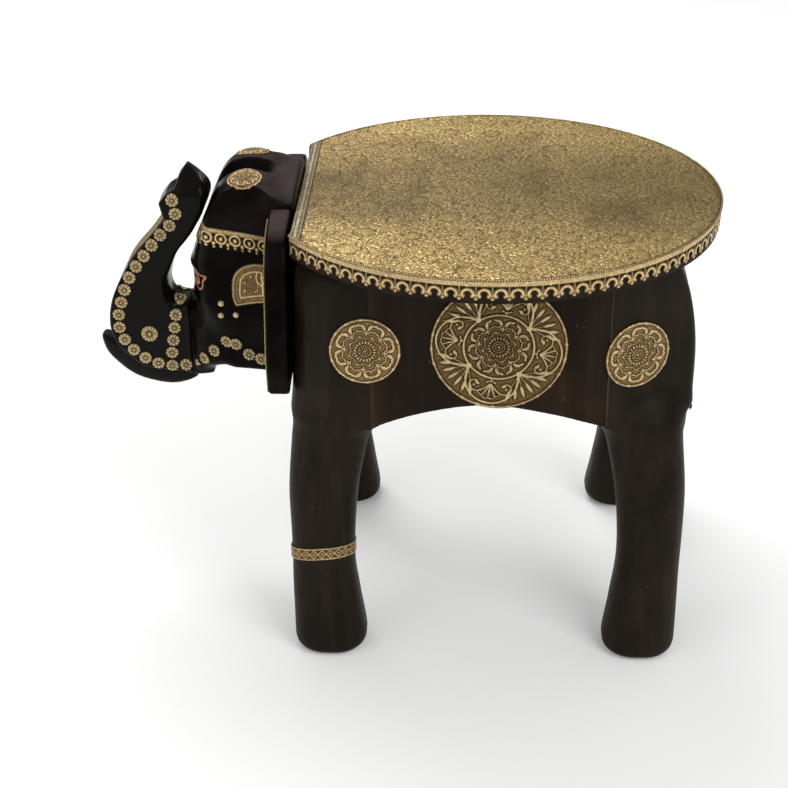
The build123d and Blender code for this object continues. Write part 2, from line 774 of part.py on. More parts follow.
with BuildPart() as head:
    add(head_solid)
    add(head_dowel_holes, mode=Mode.SUBTRACT)
    add(trunk_dowel_holes, mode=Mode.SUBTRACT)
    add(ear_dowel_holes, mode=Mode.SUBTRACT)
    add(stud_shanks(stud_shank), mode=Mode.SUBTRACT)
    add(mirrored(stud_shanks(stud_shank)), mode=Mode.SUBTRACT)

# ------------------------------------------------------------------ anklets on the front legs
anklet_plane = Plane(origin=(seat_x - ankle_x, -ankle_y, anklet_height)).rotated((-anklet_tilt, -anklet_lean, 0))

with BuildPart() as anklet:
    add(leg_shape(-1, -1, anklet_thickness))
    with BuildSketch(anklet_plane):
        Circle(1.5 * ankle_width)
    extrude(amount=anklet_width / 2, both=True, mode=Mode.INTERSECT)
    add(leg_shape(-1, -1, anklet_clearance), mode=Mode.SUBTRACT)

# ------------------------------------------------------------------ write the sub-parts
whole = {
    "torso": torso.part,
    "head": head.part,
    "trunk": trunk_drilled.part,
    "lower_lip": lower_lip.part,
    "tail": tail.part,
    "seat_board": seat_board_drilled.part,
    "seat_sheet": seat_sheet.part,
    "seat_border": seat_border.part,
    "seat_wire": seat_wire.part,
    "seat_lace": seat_lace_drilled.part,
    "lace_nails": lace_nails.part,
    "seat_screws": seat_screws.part,
    "leg_dowels": leg_dowels,
    "head_dowels": head_dowels,
    "ear_dowels": ear_dowels,
    "trunk_dowels": trunk_dowels,
    "headband": headband.part,
    "trunk_strip": trunk_strip.part,
}
whole.update(legs)
for name, piece in whole.items():
    save(piece, name)

pairs = {
    "ear": ear_left.part,
    "ear_trim": ear_trim_left.part,
    "medallion_large": large_medallion,
    "medallion_front": front_medallion,
    "medallion_rear": rear_medallion,
    "crown_medallion": crown_medallion.part,
    "cheek_paisley": cheek_paisley.part,
    "cheek_studs": cheek_studs.part,
    "cheek_rosettes": cheek_rosettes,
    "trunk_rosettes": trunk_rosettes,
    "trunk_daisy": trunk_daisy,
    "anklet": anklet.part,
}
for name, piece in pairs.items():
    save_pair(piece, name)
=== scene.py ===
import math

import bpy
import numpy as np
from mathutils import Matrix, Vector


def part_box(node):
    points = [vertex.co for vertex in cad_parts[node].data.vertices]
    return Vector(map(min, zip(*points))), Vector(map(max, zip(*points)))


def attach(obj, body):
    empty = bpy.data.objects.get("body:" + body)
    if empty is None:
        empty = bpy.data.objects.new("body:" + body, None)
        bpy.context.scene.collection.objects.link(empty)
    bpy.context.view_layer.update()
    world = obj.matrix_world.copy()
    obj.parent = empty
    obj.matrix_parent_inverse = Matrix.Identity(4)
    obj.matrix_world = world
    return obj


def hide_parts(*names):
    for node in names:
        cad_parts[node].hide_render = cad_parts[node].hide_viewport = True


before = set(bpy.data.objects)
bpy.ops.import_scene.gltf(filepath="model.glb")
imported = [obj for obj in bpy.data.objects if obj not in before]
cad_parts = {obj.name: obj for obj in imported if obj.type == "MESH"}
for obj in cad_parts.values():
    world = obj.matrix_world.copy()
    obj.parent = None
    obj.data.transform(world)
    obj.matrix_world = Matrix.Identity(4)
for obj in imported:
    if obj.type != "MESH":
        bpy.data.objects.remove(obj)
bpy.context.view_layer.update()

# ---------------------------------------------------------------- body block and leg posts
# The stool's body is a block of hardwood with four full-height leg posts glued and dowelled to its corners.
# The whole is carved as one form and ebonised, so each post runs up into a corner of the body and only a
# fine seam shows where it meets the block.
mm = 0.001
seat_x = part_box("seat_wire")[1][0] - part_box("seat_wire")[1][1]      # the seat's middle, in metres along the elephant
hands = ((-1, "left"), (1, "right"))


def span(node):
    """The low and high corners of a CAD piece, in millimetres from the seat's middle."""
    return [(np.array(corner) - [seat_x, 0, 0]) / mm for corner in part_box(node)]


(chest_x, _, leg_line), (rump_x, half_width, body_top) = span("torso")
front_seam, rear_seam, post_inner = -102.5, 104.0, 72.0         # where the posts' glue lines run
quarter_turn = 86.0                                             # where the flanks turn in to the rump
arch_half, arch_rise = 103.5, 24.0
wood_cell = 2.1


def measured_from(x, points):
    """Points of a side view, with their lengths counted from x."""
    return np.array(points, float) + [x, 0]


def curve(points, steps=8):
    """A smooth run through a few points, ends included."""
    p = np.array(points, float)
    p = np.vstack([2 * p[0] - p[1], p, 2 * p[-1] - p[-2]])
    share = np.linspace(0, 1, steps, endpoint=False)[:, None]
    runs = [0.5 * (2 * b + (c - a) * share + (2 * a - 5 * b + 4 * c - d) * share**2
                   + (3 * b - a - 3 * c + d) * share**3)
            for a, b, c, d in zip(p, p[1:], p[2:], p[3:])]
    return np.vstack(runs + [p[-2:-1]])


def filleted(corners, steps=7):
    """A closed outline from corners (u, v, radius), each rounded to its radius."""
    points = []
    for i, (u, v, radius) in enumerate(corners):
        here = np.array([u, v], float)
        before, after = (np.array(corners[(i + k) % len(corners)][:2], float) - here for k in (-1, 1))
        before, after = before / np.hypot(*before), after / np.hypot(*after)
        half = math.acos(np.clip(before @ after, -1, 1)) / 2
        if radius == 0:
            points.append(here)
            continue
        middle = here + (before + after) / np.hypot(*(before + after)) * radius / math.sin(half)
        start, end = (here + way * radius / math.tan(half) - middle for way in (before, after))
        for share in np.linspace(0, 1, steps):
            spoke = start * (1 - share) + end * share
            points.append(middle + spoke / np.hypot(*spoke) * radius)
    return np.array(points)


def inside_of(outline, u, v):
    """Distance in a plane from a closed outline, negative inside it."""
    nearest, inside = np.inf, False
    for (au, av), (bu, bv) in zip(outline, np.roll(outline, -1, axis=0)):
        du, dv = bu - au, bv - av
        share = np.clip(((u - au) * du + (v - av) * dv) / (du * du + dv * dv + 1e-12), 0, 1)
        nearest = np.minimum(nearest, (u - au - share * du) ** 2 + (v - av - share * dv) ** 2)
        inside = inside ^ (((av > v) != (bv > v)) & (u < du * (v - av) / (dv + 1e-12) + au))
    return np.where(inside, -1, 1) * np.sqrt(nearest)


def join(a, b, soft):
    """Both forms together, with a fillet where they meet."""
    share = np.clip(0.5 + 0.5 * (b - a) / soft, 0, 1)
    return b + (a - b) * share - soft * share * (1 - share)


def trim(a, b, soft):
    """What lies inside both forms, with the edge between them eased."""
    return -join(-a, -b, soft)


def eased(value, low, high):
    """0 below low, 1 above high, and a smooth step between."""
    share = np.clip((value - low) / (high - low), 0, 1)
    return share * share * (3 - 2 * share)


def hand_worked(x, y, z, size):
    """The slow unevenness that a gouge and sandpaper leave."""
    return (np.sin(x / size + 1.7 * np.sin(z / size / 1.6)) * np.sin(y / size / 1.1 + 0.9)
            + 0.6 * np.sin(z / size / 1.3 + 2.1 * np.sin(y / size / 2.2)) * np.sin(x / size / 1.7 + y / size / 2.9))


body_plan = filleted([(chest_x, -half_width, 40), (quarter_turn, -half_width, 60), (rump_x, -102, 12),
                      (rump_x, 102, 12), (quarter_turn, half_width, 60), (chest_x, half_width, 40)])
arch = [(x, leg_line + arch_rise * (1 - (x / arch_half) ** 2)) for x in np.linspace(arch_half, -arch_half, 25)]
rump = curve(measured_from(rump_x, [(-24, body_top), (-9, body_top - 38), (-1, body_top - 88), (0, leg_line)]))
body_side = np.vstack([[(chest_x, leg_line + 10), (chest_x, body_top)], rump, [(rump_x, leg_line + 8)], arch])


def body_block(x, y, z):
    """The block that the seat rests on: turned rear quarters, rounded shoulders and an arched belly."""
    upper = inside_of(body_plan, x, y)
    top_ease = 9 + 26 * eased(-x, 95, 150) * eased(np.abs(y), 90, 125)
    block = trim(upper, z - body_top, top_ease)
    return trim(block, inside_of(body_side, x, z), 5)


shank = [(0, 144.5, 139, 66), (13, 144.5, 138, 67), (50, 147.5, 135, 62), (95, 150.5, 131, 58)]
leg_rows = {                                    # height, out along x, out along y, width
    "front": shank + [(155, 149.5, 122, 63), (200, 144, 113.5, 69), (229, 139, 108.5, 73), (262, 139, 101, 60),
                      (310, 139, 100, 56)],
    "rear": shank + [(155, 149.5, 121, 63), (200, 144, 108, 69), (229, 139, 100, 73), (262, 139, 84, 58),
                     (310, 139, 74, 46)],
}


def leg(which, x, y, z):
    """One leg pair: a rounded square that leans, swells and narrows with height, with eased soles."""
    height, out_x, out_y, width = curve(leg_rows[which]).T
    half = np.interp(z, height, width) / 2
    corner = half * 0.86
    u = np.abs(x) - np.interp(z, height, out_x)
    v = np.abs(y) - np.interp(z, height, out_y)
    u, v = np.abs(u) - half + corner, np.abs(v) - half + corner
    across = np.hypot(np.maximum(u, 0), np.maximum(v, 0)) + np.minimum(np.maximum(u, v), 0) - corner
    return trim(trim(across, -z, 13), z - 300, 5)


def carved_body(x, y, z):
    """Block and legs as one carved form."""
    front = np.where(x < 0, leg("front", x, y, z), 1e3)
    rear = np.where(x > 0, leg("rear", x, y, z), 1e3)
    soft = 20 - 12 * eased(z, 240, 268) * eased(x, 0, 60)
    return join(body_block(x, y, z), np.minimum(front, rear), soft) + 0.35 * hand_worked(x, y, z, 15.0)


def posts(x, y, z):
    """Negative in the corners that the leg posts take up, and everywhere below the leg line."""
    corner = np.maximum(np.where(x < 0, x - front_seam, rear_seam - x), post_inner - np.abs(y))
    return np.minimum(corner, z - leg_line)


def piece(name, points, faces, finish, nodes=(), patina=None, wear_and_highlight=None):
    """A mesh in millimetres from the seat's middle becomes an object that rides with the stool."""
    mesh = bpy.data.meshes.new(name)
    faces = [np.asarray(f) for f in faces]
    sizes = np.concatenate([np.full(len(f), f.shape[1]) for f in faces])
    mesh.vertices.add(len(points))
    mesh.vertices.foreach_set("co", (points * mm + [seat_x, 0, 0]).ravel())
    mesh.loops.add(int(sizes.sum()))
    mesh.loops.foreach_set("vertex_index", np.concatenate([f.ravel() for f in faces]).astype(np.int32))
    mesh.polygons.add(len(sizes))
    mesh.polygons.foreach_set("loop_start", (np.cumsum(sizes) - sizes).astype(np.int32))
    for label, values in (("patina", patina), ("wear_and_highlight", wear_and_highlight)):
        if values is not None:
            mesh.attributes.new(label, "FLOAT", "POINT").data.foreach_set("value", np.asarray(values, np.float32))
    mesh.update(calc_edges=True)
    mesh.validate()
    mesh.shade_smooth()
    made = bpy.data.objects.new(name, mesh)
    bpy.context.scene.collection.objects.link(made)
    mesh.materials.append(finish)
    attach(made, "root")
    if nodes:
        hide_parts(*nodes)
    return made


def skin(form, low, high, cell):
    """Points and four-sided faces where form(x, y, z) is zero between two corners, one point per cell crossed."""
    low, high = np.minimum(low, high), np.maximum(low, high)
    axes = [np.arange(a - 1.5 * cell, b + 2.5 * cell, cell) for a, b in zip(low, high)]
    depth = form(*np.meshgrid(*axes, indexing="ij", sparse=True)) + np.zeros([len(a) for a in axes])
    unit = np.eye(3, dtype=int)
    rings, spots = [], []
    for axis in range(3):
        ahead = np.moveaxis(depth, axis, 0)
        crossed = np.argwhere(np.moveaxis((ahead[:-1] < 0) != (ahead[1:] < 0), 0, axis))
        near, far = depth[tuple(crossed.T)], depth[tuple((crossed + unit[axis]).T)]
        spot = crossed + unit[axis] * (near / (near - far))[:, None]
        b, c = unit[(axis + 1) % 3], unit[(axis + 2) % 3]
        ring = np.stack([crossed - b - c, crossed - c, crossed, crossed - b], axis=1)
        ring[near > 0] = ring[near > 0][:, ::-1]
        rings.append(ring)
        spots.append(np.repeat(spot[:, None], 4, axis=1))
    rings, spots = np.concatenate(rings), np.concatenate(spots).reshape(-1, 3)
    flat = np.ravel_multi_index(rings.reshape(-1, 3).T, depth.shape)
    _, index = np.unique(flat, return_inverse=True)
    count = np.bincount(index)
    points = np.stack([np.bincount(index, spots[:, k]) / count for k in range(3)], axis=1)
    return points * cell + [a[0] for a in axes], index.reshape(-1, 4)


def edges_worn_and_highlit(form, points, reach=3.0):
    """How far each point stands proud of what is round it, for edges that hands have rubbed and for a painted highlight
    along the ridges.
    """
    x, y, z = points.T
    here = form(x, y, z)
    around = sum(form(x + i, y + j, z + k) for i, j, k in np.vstack([np.eye(3), -np.eye(3)]) * reach)
    return np.clip((around - 6 * here) / reach / 2.2, -1, 2)


class Shade:
    """One value or colour inside a material.  Sums written with it add their own nodes."""

    def __init__(self, socket):
        self.socket = socket

    def node(self, kind, settings=(), inputs=(), output=0):
        """Adds a node to the same material and gives one of its outputs."""
        made = self.socket.id_data.nodes.new(kind)
        for label, value in dict(settings).items():
            setattr(made, label, value)
        for label, value in dict(inputs).items():
            put(made.inputs[label], value)
        return Shade(made.outputs[output])

    def math(self, operation, *values):
        return self.node("ShaderNodeMath", {"operation": operation}, dict(enumerate(values)))

    def __add__(self, other):
        return self.math("ADD", self, other)

    def __sub__(self, other):
        return self.math("SUBTRACT", self, other)

    def __rsub__(self, other):
        return self.math("SUBTRACT", other, self)

    def __mul__(self, other):
        return self.math("MULTIPLY", self, other)

    __radd__ = __add__
    __rmul__ = __mul__

    def step(self, low, high):
        """0 below low, 1 above high, and a smooth step between."""
        return self.node("ShaderNodeMapRange", {"interpolation_type": "SMOOTHSTEP"}, {0: self, 1: low, 2: high})

    def tint(self, low, high):
        """The colour low where this is 0 and high where it is 1."""
        colours = [c if isinstance(c, Shade) else (*c, 1) for c in (low, high)]
        return self.node("ShaderNodeMix", {"data_type": "RGBA"}, {0: self, 6: colours[0], 7: colours[1]}, 2)

    def stretched(self, x, y, z):
        """A place, scaled along each axis."""
        return self.node("ShaderNodeVectorMath", {"operation": "MULTIPLY"}, {0: self, 1: (x, y, z)})

    def part(self, which):
        """One of a vector's three numbers."""
        return self.node("ShaderNodeSeparateXYZ", {}, {0: self}, which)

    def noise(self, scale, detail=3.0, roughness=0.55, distortion=0.0):
        return self.node("ShaderNodeTexNoise", {}, {"Vector": self, "Scale": scale, "Detail": detail,
                                                    "Roughness": roughness, "Distortion": distortion})

    def bump(self, distance, strength=1.0):
        return self.node("ShaderNodeBump", {}, {"Height": self, "Distance": distance, "Strength": strength})


def start(name):
    """A new material, its shader and the place on the stool in metres."""
    made = bpy.data.materials.new(name)
    made.use_nodes = True
    tree = made.node_tree
    place = Shade(tree.nodes.new("ShaderNodeTexCoord").outputs["Object"])
    return made, tree.nodes["Principled BSDF"], place


def put(socket, value):
    """Links a Shade to a socket, or sets the socket to a plain value."""
    if isinstance(value, Shade):
        socket.id_data.links.new(value.socket, socket)
    else:
        socket.default_value = value


def feed(shader, **values):
    """Sets or links the shader's own sockets."""
    for label, value in values.items():
        put(shader.inputs[label.replace("_", " ")], value)


def mark(shade, label):
    """A value that the mesh carries at each point."""
    return shade.node("ShaderNodeAttribute", {"attribute_name": label}, {}, 2)


def ebonised(name, dark, brown, rubbed, gloss, dust=0.5):
    """Black-stained hardwood: long grain, brown where the stain is thin, edges lightened as rubbed wear and partly as a
    painted highlight, and fine scratches.
    """
    made, shader, place = start(name)
    cloud = place.noise(9.0, 4.0, 0.6, 0.6).step(0.38, 0.66)
    grain = place.stretched(1, 1, 0.07).noise(210.0, 5.0, 0.65)
    streak = place.stretched(1, 1, 0.03).noise(60.0, 4.0, 0.6, 0.4)
    # Proud edges are tinted lighter: rubbed wear, and partly a painted highlight along the ridges.
    edge = mark(place, "wear_and_highlight").step(0.25, 1.1)
    stain = (cloud * 0.55 + streak.step(0.42, 0.7) * 0.5).tint(dark, brown)
    stain = (edge * 0.7).tint(stain, rubbed)
    scuff = place.stretched(1, 1, 0.35).noise(330.0, 2.0, 0.5).step(0.69, 0.78)
    scuff = scuff * place.noise(22.0, 2.0).step(0.5, 0.62) * dust
    stain = scuff.tint(stain, (0.22, 0.19, 0.16))
    rough = gloss + (cloud - 0.5) * 0.1 + grain * 0.1 + scuff * 0.2
    relief = (grain * 0.5 + streak * 0.5).bump(0.0004, 0.55)
    feed(shader, Base_Color=stain, Roughness=rough, Normal=relief, Specular_IOR_Level=0.09)
    return made


body_wood = ebonised("ebonised_body_wood", (0.0105, 0.0062, 0.0026), (0.027, 0.0165, 0.0080), (0.11, 0.078, 0.052),
                     0.40)
leg_wood = ebonised("ebonised_leg_wood", (0.0105, 0.0072, 0.0042), (0.026, 0.0180, 0.0105), (0.10, 0.072, 0.048), 0.40)


def carve(name, form, low, high, finish, nodes, cell=wood_cell):
    """Skins a carved form and makes the piece."""
    points, faces = skin(form, low, high, cell)
    # Each point carries how proud its edge stands, which the finishes use for rubbed wear and for a painted highlight.
    return piece(name, points, [faces], finish, nodes, wear_and_highlight=edges_worn_and_highlit(form, points))


carve("body_block", lambda x, y, z: np.maximum(carved_body(x, y, z), -posts(x, y, z)),
      (chest_x, -half_width, leg_line), (rump_x, half_width, body_top), body_wood, ["torso"])
for way, end in ((-1, "front"), (1, "rear")):
    for side, hand in hands:
        carve(f"post_{end}_{hand}", lambda x, y, z: np.maximum(carved_body(x, y, z), posts(x, y, z)),
              (way * 80, side * 45, 0), (way * 190, side * 176, body_top), leg_wood,
              [f"leg_{end}_{hand}"])

# ---------------------------------------------------------------- head
# The head is one block, glued and dowelled to the chest.  Its cheeks are sawn flat; the two domes of the
# forehead, the brows and the eye hollows are carved, and the whole is stained black and polished.
(face_x, _, chin_height), (_, cheek, _) = span("head")
jaw_height, turn_x = 240.0, -248.0                  # turn_x is where the temples begin to round
head_plan = np.vstack([[(chest_x, cheek), (chest_x, -cheek)],
                       [(turn_x + (face_x - turn_x) * math.sin(t), -cheek * math.cos(t))
                        for t in np.linspace(0, math.pi, 23)]])
jaw_plan = np.array([(chest_x, cheek), (chest_x, -cheek), (-238, -50), (-262, -40), (-292, -20), (face_x - 10, 0),
                     (-292, 20), (-262, 40), (-238, 50)])
forehead = curve([(chest_x, 418), (-190, 419.5), (-205, 425), (-219, 427.6), (-232, 425), (-243, 418), (-251, 407),
                  (-259, 389), (-266, 369), (-274, 352), (face_x, 338)])
head_side = np.vstack([[(chest_x, jaw_height)], forehead, [(face_x, chin_height), (-270, chin_height + 3),
                       (-246, jaw_height)]])


def head_form(x, y, z):
    """Flat cheeks, a tapering jaw, rounded temples and two crisp-edged domes with a valley between."""
    side = np.abs(y)
    dome = eased(-x, 186, 208) * (1 - eased(-x, 246, 268))
    drop = 11 * np.clip((16.5 - side) / 12, 0, 1) * dome + 7 * eased(side, 34, 58) * dome
    drop = drop + 11 * (side / cheek) ** 4 * eased(x, -204, -180)
    profile = inside_of(head_side, x, z + drop * eased(z, 370, 402))
    temple = side - cheek + 13 * eased(z, 386, 427) ** 1.4 * dome
    around = inside_of(head_plan, x, y)
    jaw = inside_of(jaw_plan, x, y)
    low = 1 - eased(z, 262, 318)
    around = around + (np.maximum(jaw, around) - around) * low
    crisp = 1.6 + 9 * eased(-x, 232, 262) + 6 * (1 - eased(z, 300, 385))
    form = trim(profile, trim(around, temple, 4), crisp)
    brow = np.sqrt((x + 277) ** 2 + ((side - 27) / 1.8) ** 2 + ((z - 341) / 0.7) ** 2)
    form = form - 1.4 * np.exp(-(brow / 7.5) ** 2)
    form = form + 2.3 * eased(345 - z, 3, 8) * eased(z, 306, 322) * eased(-x, 262, 272)
    socket = np.sqrt((x + 268) ** 2 + (side - 48) ** 2 + ((z - 331) * 0.9) ** 2)
    form = form + 2.6 * np.exp(-(socket / 9.5) ** 2)
    return form + 0.3 * hand_worked(x + 40, y, z, 13.0)


def polished(name, ink, brown, gloss, lumps, sheen=0.085):
    """Black-stained and polished hardwood: duller where it faces up, and lighter brown there as a painted light on the
    tops, with soft lumps under the polish.
    """
    made, shader, place = start(name)
    # Faces that point up are duller and tinted lighter brown: a duller polish there, and a painted light on the tops.
    dull_and_lit_top = place.node("ShaderNodeNewGeometry", {}, {}, "Normal").part(2).step(0.72, 0.97)
    cloud = place.noise(14.0, 4.0, 0.6, 0.4).step(0.4, 0.7)
    grain = place.stretched(1, 1, 0.1).noise(190.0, 4.0, 0.6)
    lump = place.noise(55.0, 2.0, 0.5)
    stain = (dull_and_lit_top * 0.8 + cloud * 0.2).tint(ink, brown)
    # Proud edges are tinted lighter brown: rubbed wear, and partly a painted highlight along the rims.
    edge = mark(place, "wear_and_highlight").step(0.5, 1.5)
    stain = (edge * 0.35).tint(stain, (0.09, 0.07, 0.055))
    rough = gloss + dull_and_lit_top * 0.28 + cloud * 0.07 + grain * 0.06
    relief = (grain * 0.12 + lump * lumps).bump(0.003, 0.5)
    feed(shader, Base_Color=stain, Roughness=rough, Normal=relief, Specular_IOR_Level=sheen)
    return made


head_wood = polished("polished_head_wood", (0.0016, 0.0009, 0.0004), (0.040, 0.028, 0.026), 0.19, 0.35, 0.045)

# ---------------------------------------------------------------- trunk and lower lip
# The trunk is sawn from a plank, its rims rounded, and dowelled upright to the face.  The pointed lower lip
# is a second, narrower piece glued under its curl.
plank_half = span("trunk")[1][1]
root_top, throat_height = 296.0, 221.5
crook = curve(measured_from(face_x, [(-9, root_top), (-17, 302), (-19.5, 311), (-17, 325), (-9.5, 343), (1, 357),
                                     (10, 371), (18, 385), (21.5, 400), (14.5, 416), (3.6, 427.2)]), 6)
finger = measured_from(face_x, [(-4, 417), (-7.5, 407), (-16, 401.5), (-23, 393)])
bend = curve(measured_from(face_x, [(-19.5, 377), (-33, 359.5), (-49, 341), (-63, 319.5), (-73.5, 294.5),
                                    (-77.5, 274), (-74.5, 256), (-64, 240), (-46, 227.5), (-21, throat_height)]), 6)
trunk_side = np.vstack([[(face_x + 20, throat_height), (face_x + 20, root_top)], crook, finger, bend])


def trunk_form(x, y, z):
    """The plank with rounded rims, a saddle at its root and a hooded, narrowing tip."""
    side = np.abs(y)
    half = plank_half - (plank_half - 6) * eased(z, 399, 430)
    saddle = eased(x, face_x - 30, face_x - 14) * eased(z, 258, 290) * (1 - eased(z, 312, 330))
    plank = trim(inside_of(trunk_side, x, z), side - half, 5.5 + 13 * saddle)
    mouth = np.sqrt(((x - face_x + 13) / 1.3) ** 2 + (y / 1.5) ** 2 + ((z - 409) / 1.2) ** 2) - 6
    return trim(plank, -mouth, 3) + 0.35 * hand_worked(x, y, z, 9.0)


def head_and_trunk(x, y, z):
    """Both as carved together, with a hollow fillet round the trunk's root."""
    soft = np.maximum(0.01, 14 * eased(310 - z, 0, 20))
    return join(head_form(x, y, z), trunk_form(x, y, z), soft)


def head_piece(x, y, z):
    """The head's share: what lies behind the glue joint."""
    joined = np.maximum(head_and_trunk(x, y, z), face_x - x)
    return np.where(z < root_top + 20, joined, head_form(x, y, z))


def trunk_piece(x, y, z):
    """The trunk's share: what lies before the glue joint."""
    joined = np.maximum(head_and_trunk(x, y, z), x - face_x)
    return np.where(z < root_top + 20, joined, np.maximum(trunk_form(x, y, z), 0.4 - head_form(x, y, z)))


carve("head_block", head_piece, (face_x - 6, -cheek, chin_height - 4), (chest_x, cheek, 428), head_wood,
      ["head"], 1.9)
trunk_wood = polished("polished_trunk_wood", (0.0055, 0.0050, 0.0042), (0.016, 0.015, 0.015), 0.15, 1.3)
carve("trunk_plank", trunk_piece, (face_x - 79, -plank_half - 34, 210), (face_x + 22, plank_half + 34, 428), trunk_wood,
      ["trunk"], 1.4)

lip_half = span("lower_lip")[1][1]
lip_front = [(-86, 255.5), (-89, 250.8), (-84.5, 236), (-72, 223.4), (-56, 212.4), (-36.5, 206), (-21.5, 204.4),
             (-9.6, 206.5), (1, 211.3), (5, 217)]
lip_side = np.vstack([curve(measured_from(face_x, lip_front), 6), measured_from(face_x, [(5, 228), (-58, 247)])])


def lip_form(x, y, z):
    """A boat-shaped piece that follows the trunk's curl and runs out to a point."""
    lip = trim(inside_of(lip_side, x, z), np.abs(y) - lip_half + 5 * eased(-x, 340, 372), 8)
    held = np.maximum(-trunk_form(x, y, z), -head_and_trunk(x, y, z)) + 0.3
    return np.maximum(lip, held) + 0.25 * hand_worked(x, y, z, 8.0)


lip_wood = polished("polished_lip_wood", (0.009, 0.007, 0.0055), (0.030, 0.022, 0.018), 0.3, 0.4)
carve("carved_lip", lip_form, (face_x - 89, -lip_half, 200), (face_x + 6, lip_half, 257), lip_wood,
      ["lower_lip"], 1.4)

# ---------------------------------------------------------------- ears
# Each ear is a slab of the same wood with rounded rims and a shallow dish carved in its face.  It stands on
# edge against a cheek, dowelled and glued, and is stained and polished with the head.
(ear_front, ear_edge, ear_bottom), (ear_back, _, ear_top) = span("ear_left")
ear_reach = -ear_edge
ear_rim = np.vstack([[(cheek, ear_bottom + 30), (cheek, ear_top), (cheek + 14, ear_top - 1)],
                     curve([(cheek + 14, ear_top - 1), (ear_reach - 35, ear_top - 7), (ear_reach - 20, ear_top - 20),
                            (ear_reach - 9, ear_top - 50), (ear_reach, ear_bottom + 40),
                            (ear_reach - 4, ear_bottom + 4)]),
                     [(ear_reach - 12, ear_bottom), (cheek + 30, ear_bottom + 6)]])


def ear_form(x, y, z):
    """The slab, with crisp rims and a dished face."""
    rim = inside_of(ear_rim, np.abs(y), z)
    dish = 2.2 * eased(-rim, 7, 26)
    slab = np.maximum(ear_front + dish - x, x - ear_back)
    return trim(rim, slab, 3.2) + 0.25 * hand_worked(x, y, z, 12.0)


for side, hand in hands:
    carve(f"ear_slab_{hand}", ear_form, (ear_front, side * cheek, ear_bottom), (ear_back, side * ear_reach, ear_top),
          head_wood, [f"ear_{hand}"], 1.7)

# ---------------------------------------------------------------- tail
# The tail is a strip of the legs' wood, glued down the rump.  It narrows to a rounded tuft that hangs free
# between the hind legs, and a furrow is cut down its back.
(_, _, tail_end), (_, tail_half, tail_root) = span("tail")
tail_back = [(-20, tail_root), (-4, tail_root - 26), (5, tail_root - 58), (11.5, leg_line + 24), (10.5, leg_line - 8),
             (8.5, leg_line - 45), (6, tail_end + 6), (3, tail_end)]
tail_side = np.vstack([curve(measured_from(rump_x, tail_back)),
                       curve(measured_from(rump_x, [(-1, tail_end + 6), (0, leg_line - 40), (0.4, leg_line + 10)])),
                       measured_from(rump_x, [(-30, leg_line + 24), (-30, tail_root - 6)])])


def tail_form(x, y, z):
    """The strip, fitted to the rump, with a shallow furrow down its back."""
    width = np.interp(z, [tail_end, tail_end + 22, tail_end + 60, tail_root], [7, tail_half, tail_half - 3, tail_half])
    strip = trim(inside_of(tail_side, x, z), np.abs(y) - width, 5)
    return np.maximum(strip, -carved_body(x, y, z) + 0.3) + 0.9 * np.exp(-(y / 1.6) ** 2)


carve("tail_strip", tail_form, (rump_x - 24, -tail_half, tail_end), (rump_x + 15, tail_half, tail_root), leg_wood,
      ["tail"], 1.6)

# ---------------------------------------------------------------- seat board
# The board is a thick disc of hardwood, sawn off straight at the front and screwed down to the body.  Its
# edge is stained dark and shows inside the loops of the lace.
wire_cover = 1.5                                    # how far the wire stands out past the board
(_, _, wire_bottom), (_, wire_reach, wire_top) = span("seat_wire")
(sheet_front, _, sheet_back), (_, _, seat_height) = span("seat_sheet")
seat_radius = wire_reach - wire_cover
chord_x = span("seat_border")[0][0]
border_width = sheet_front - chord_x
board_wood = ebonised("stained_board_wood", (0.012, 0.008, 0.005), (0.034, 0.022, 0.013), (0.07, 0.05, 0.03), 0.5)
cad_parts["seat_board"].data.materials[0] = board_wood

# ---------------------------------------------------------------- embossed brass sheet on the seat
# The sheet is thin brass, embossed by hand punches from one rosette to the next: roses with rings of wavy
# petals, and leaves and commas crowded between them.  Wax and dirt lie dark in the grooves.

class Canvas:
    """A height map in millimetres that punches are struck into, from above."""

    def __init__(self, low, high, pixel):
        self.low, self.pixel = np.array(low, float), pixel
        shape = np.ceil((np.array(high) - low) / pixel).astype(int) + 1
        self.height = np.zeros(shape)

    def struck(self, middle, radius, shape):
        """Raises the map to shape(u, v), in millimetres from the punch's middle, within its radius."""
        centre = (np.array(middle) - self.low) / self.pixel
        a = np.maximum(np.floor(centre - radius / self.pixel).astype(int), 0)
        b = np.minimum(np.ceil(centre + radius / self.pixel).astype(int) + 1, self.height.shape)
        if (b <= a).any():
            return
        u, v = np.meshgrid(*[(np.arange(i, j) - c) * self.pixel for i, j, c in zip(a, b, centre)], indexing="ij")
        part = self.height[a[0]:b[0], a[1]:b[1]]
        np.maximum(part, shape(u, v), out=part)

    def read(self, x, y):
        """The height at points, blended between the map's pixels."""
        u = np.clip((x - self.low[0]) / self.pixel, 0, self.height.shape[0] - 1.001)
        v = np.clip((y - self.low[1]) / self.pixel, 0, self.height.shape[1] - 1.001)
        i, j = u.astype(int), v.astype(int)
        u, v = u - i, v - j
        h = self.height
        return (h[i, j] * (1 - u) + h[i + 1, j] * u) * (1 - v) + (h[i, j + 1] * (1 - u) + h[i + 1, j + 1] * u) * v


def leaf_punch(way, length, width, bow):
    """A pointed leaf that bows to one side, with a vein down its middle."""
    def shape(u, v):
        along = (u * math.cos(way) + v * math.sin(way)) / length
        across = (v * math.cos(way) - u * math.sin(way)) / width - bow * (along**2 - 0.3)
        body = 1 - along**2 - np.abs(across) ** 1.6
        return np.clip(body * 2.4, 0, 1) * (1 - 0.45 * np.exp(-(across / 0.16) ** 2))
    return shape


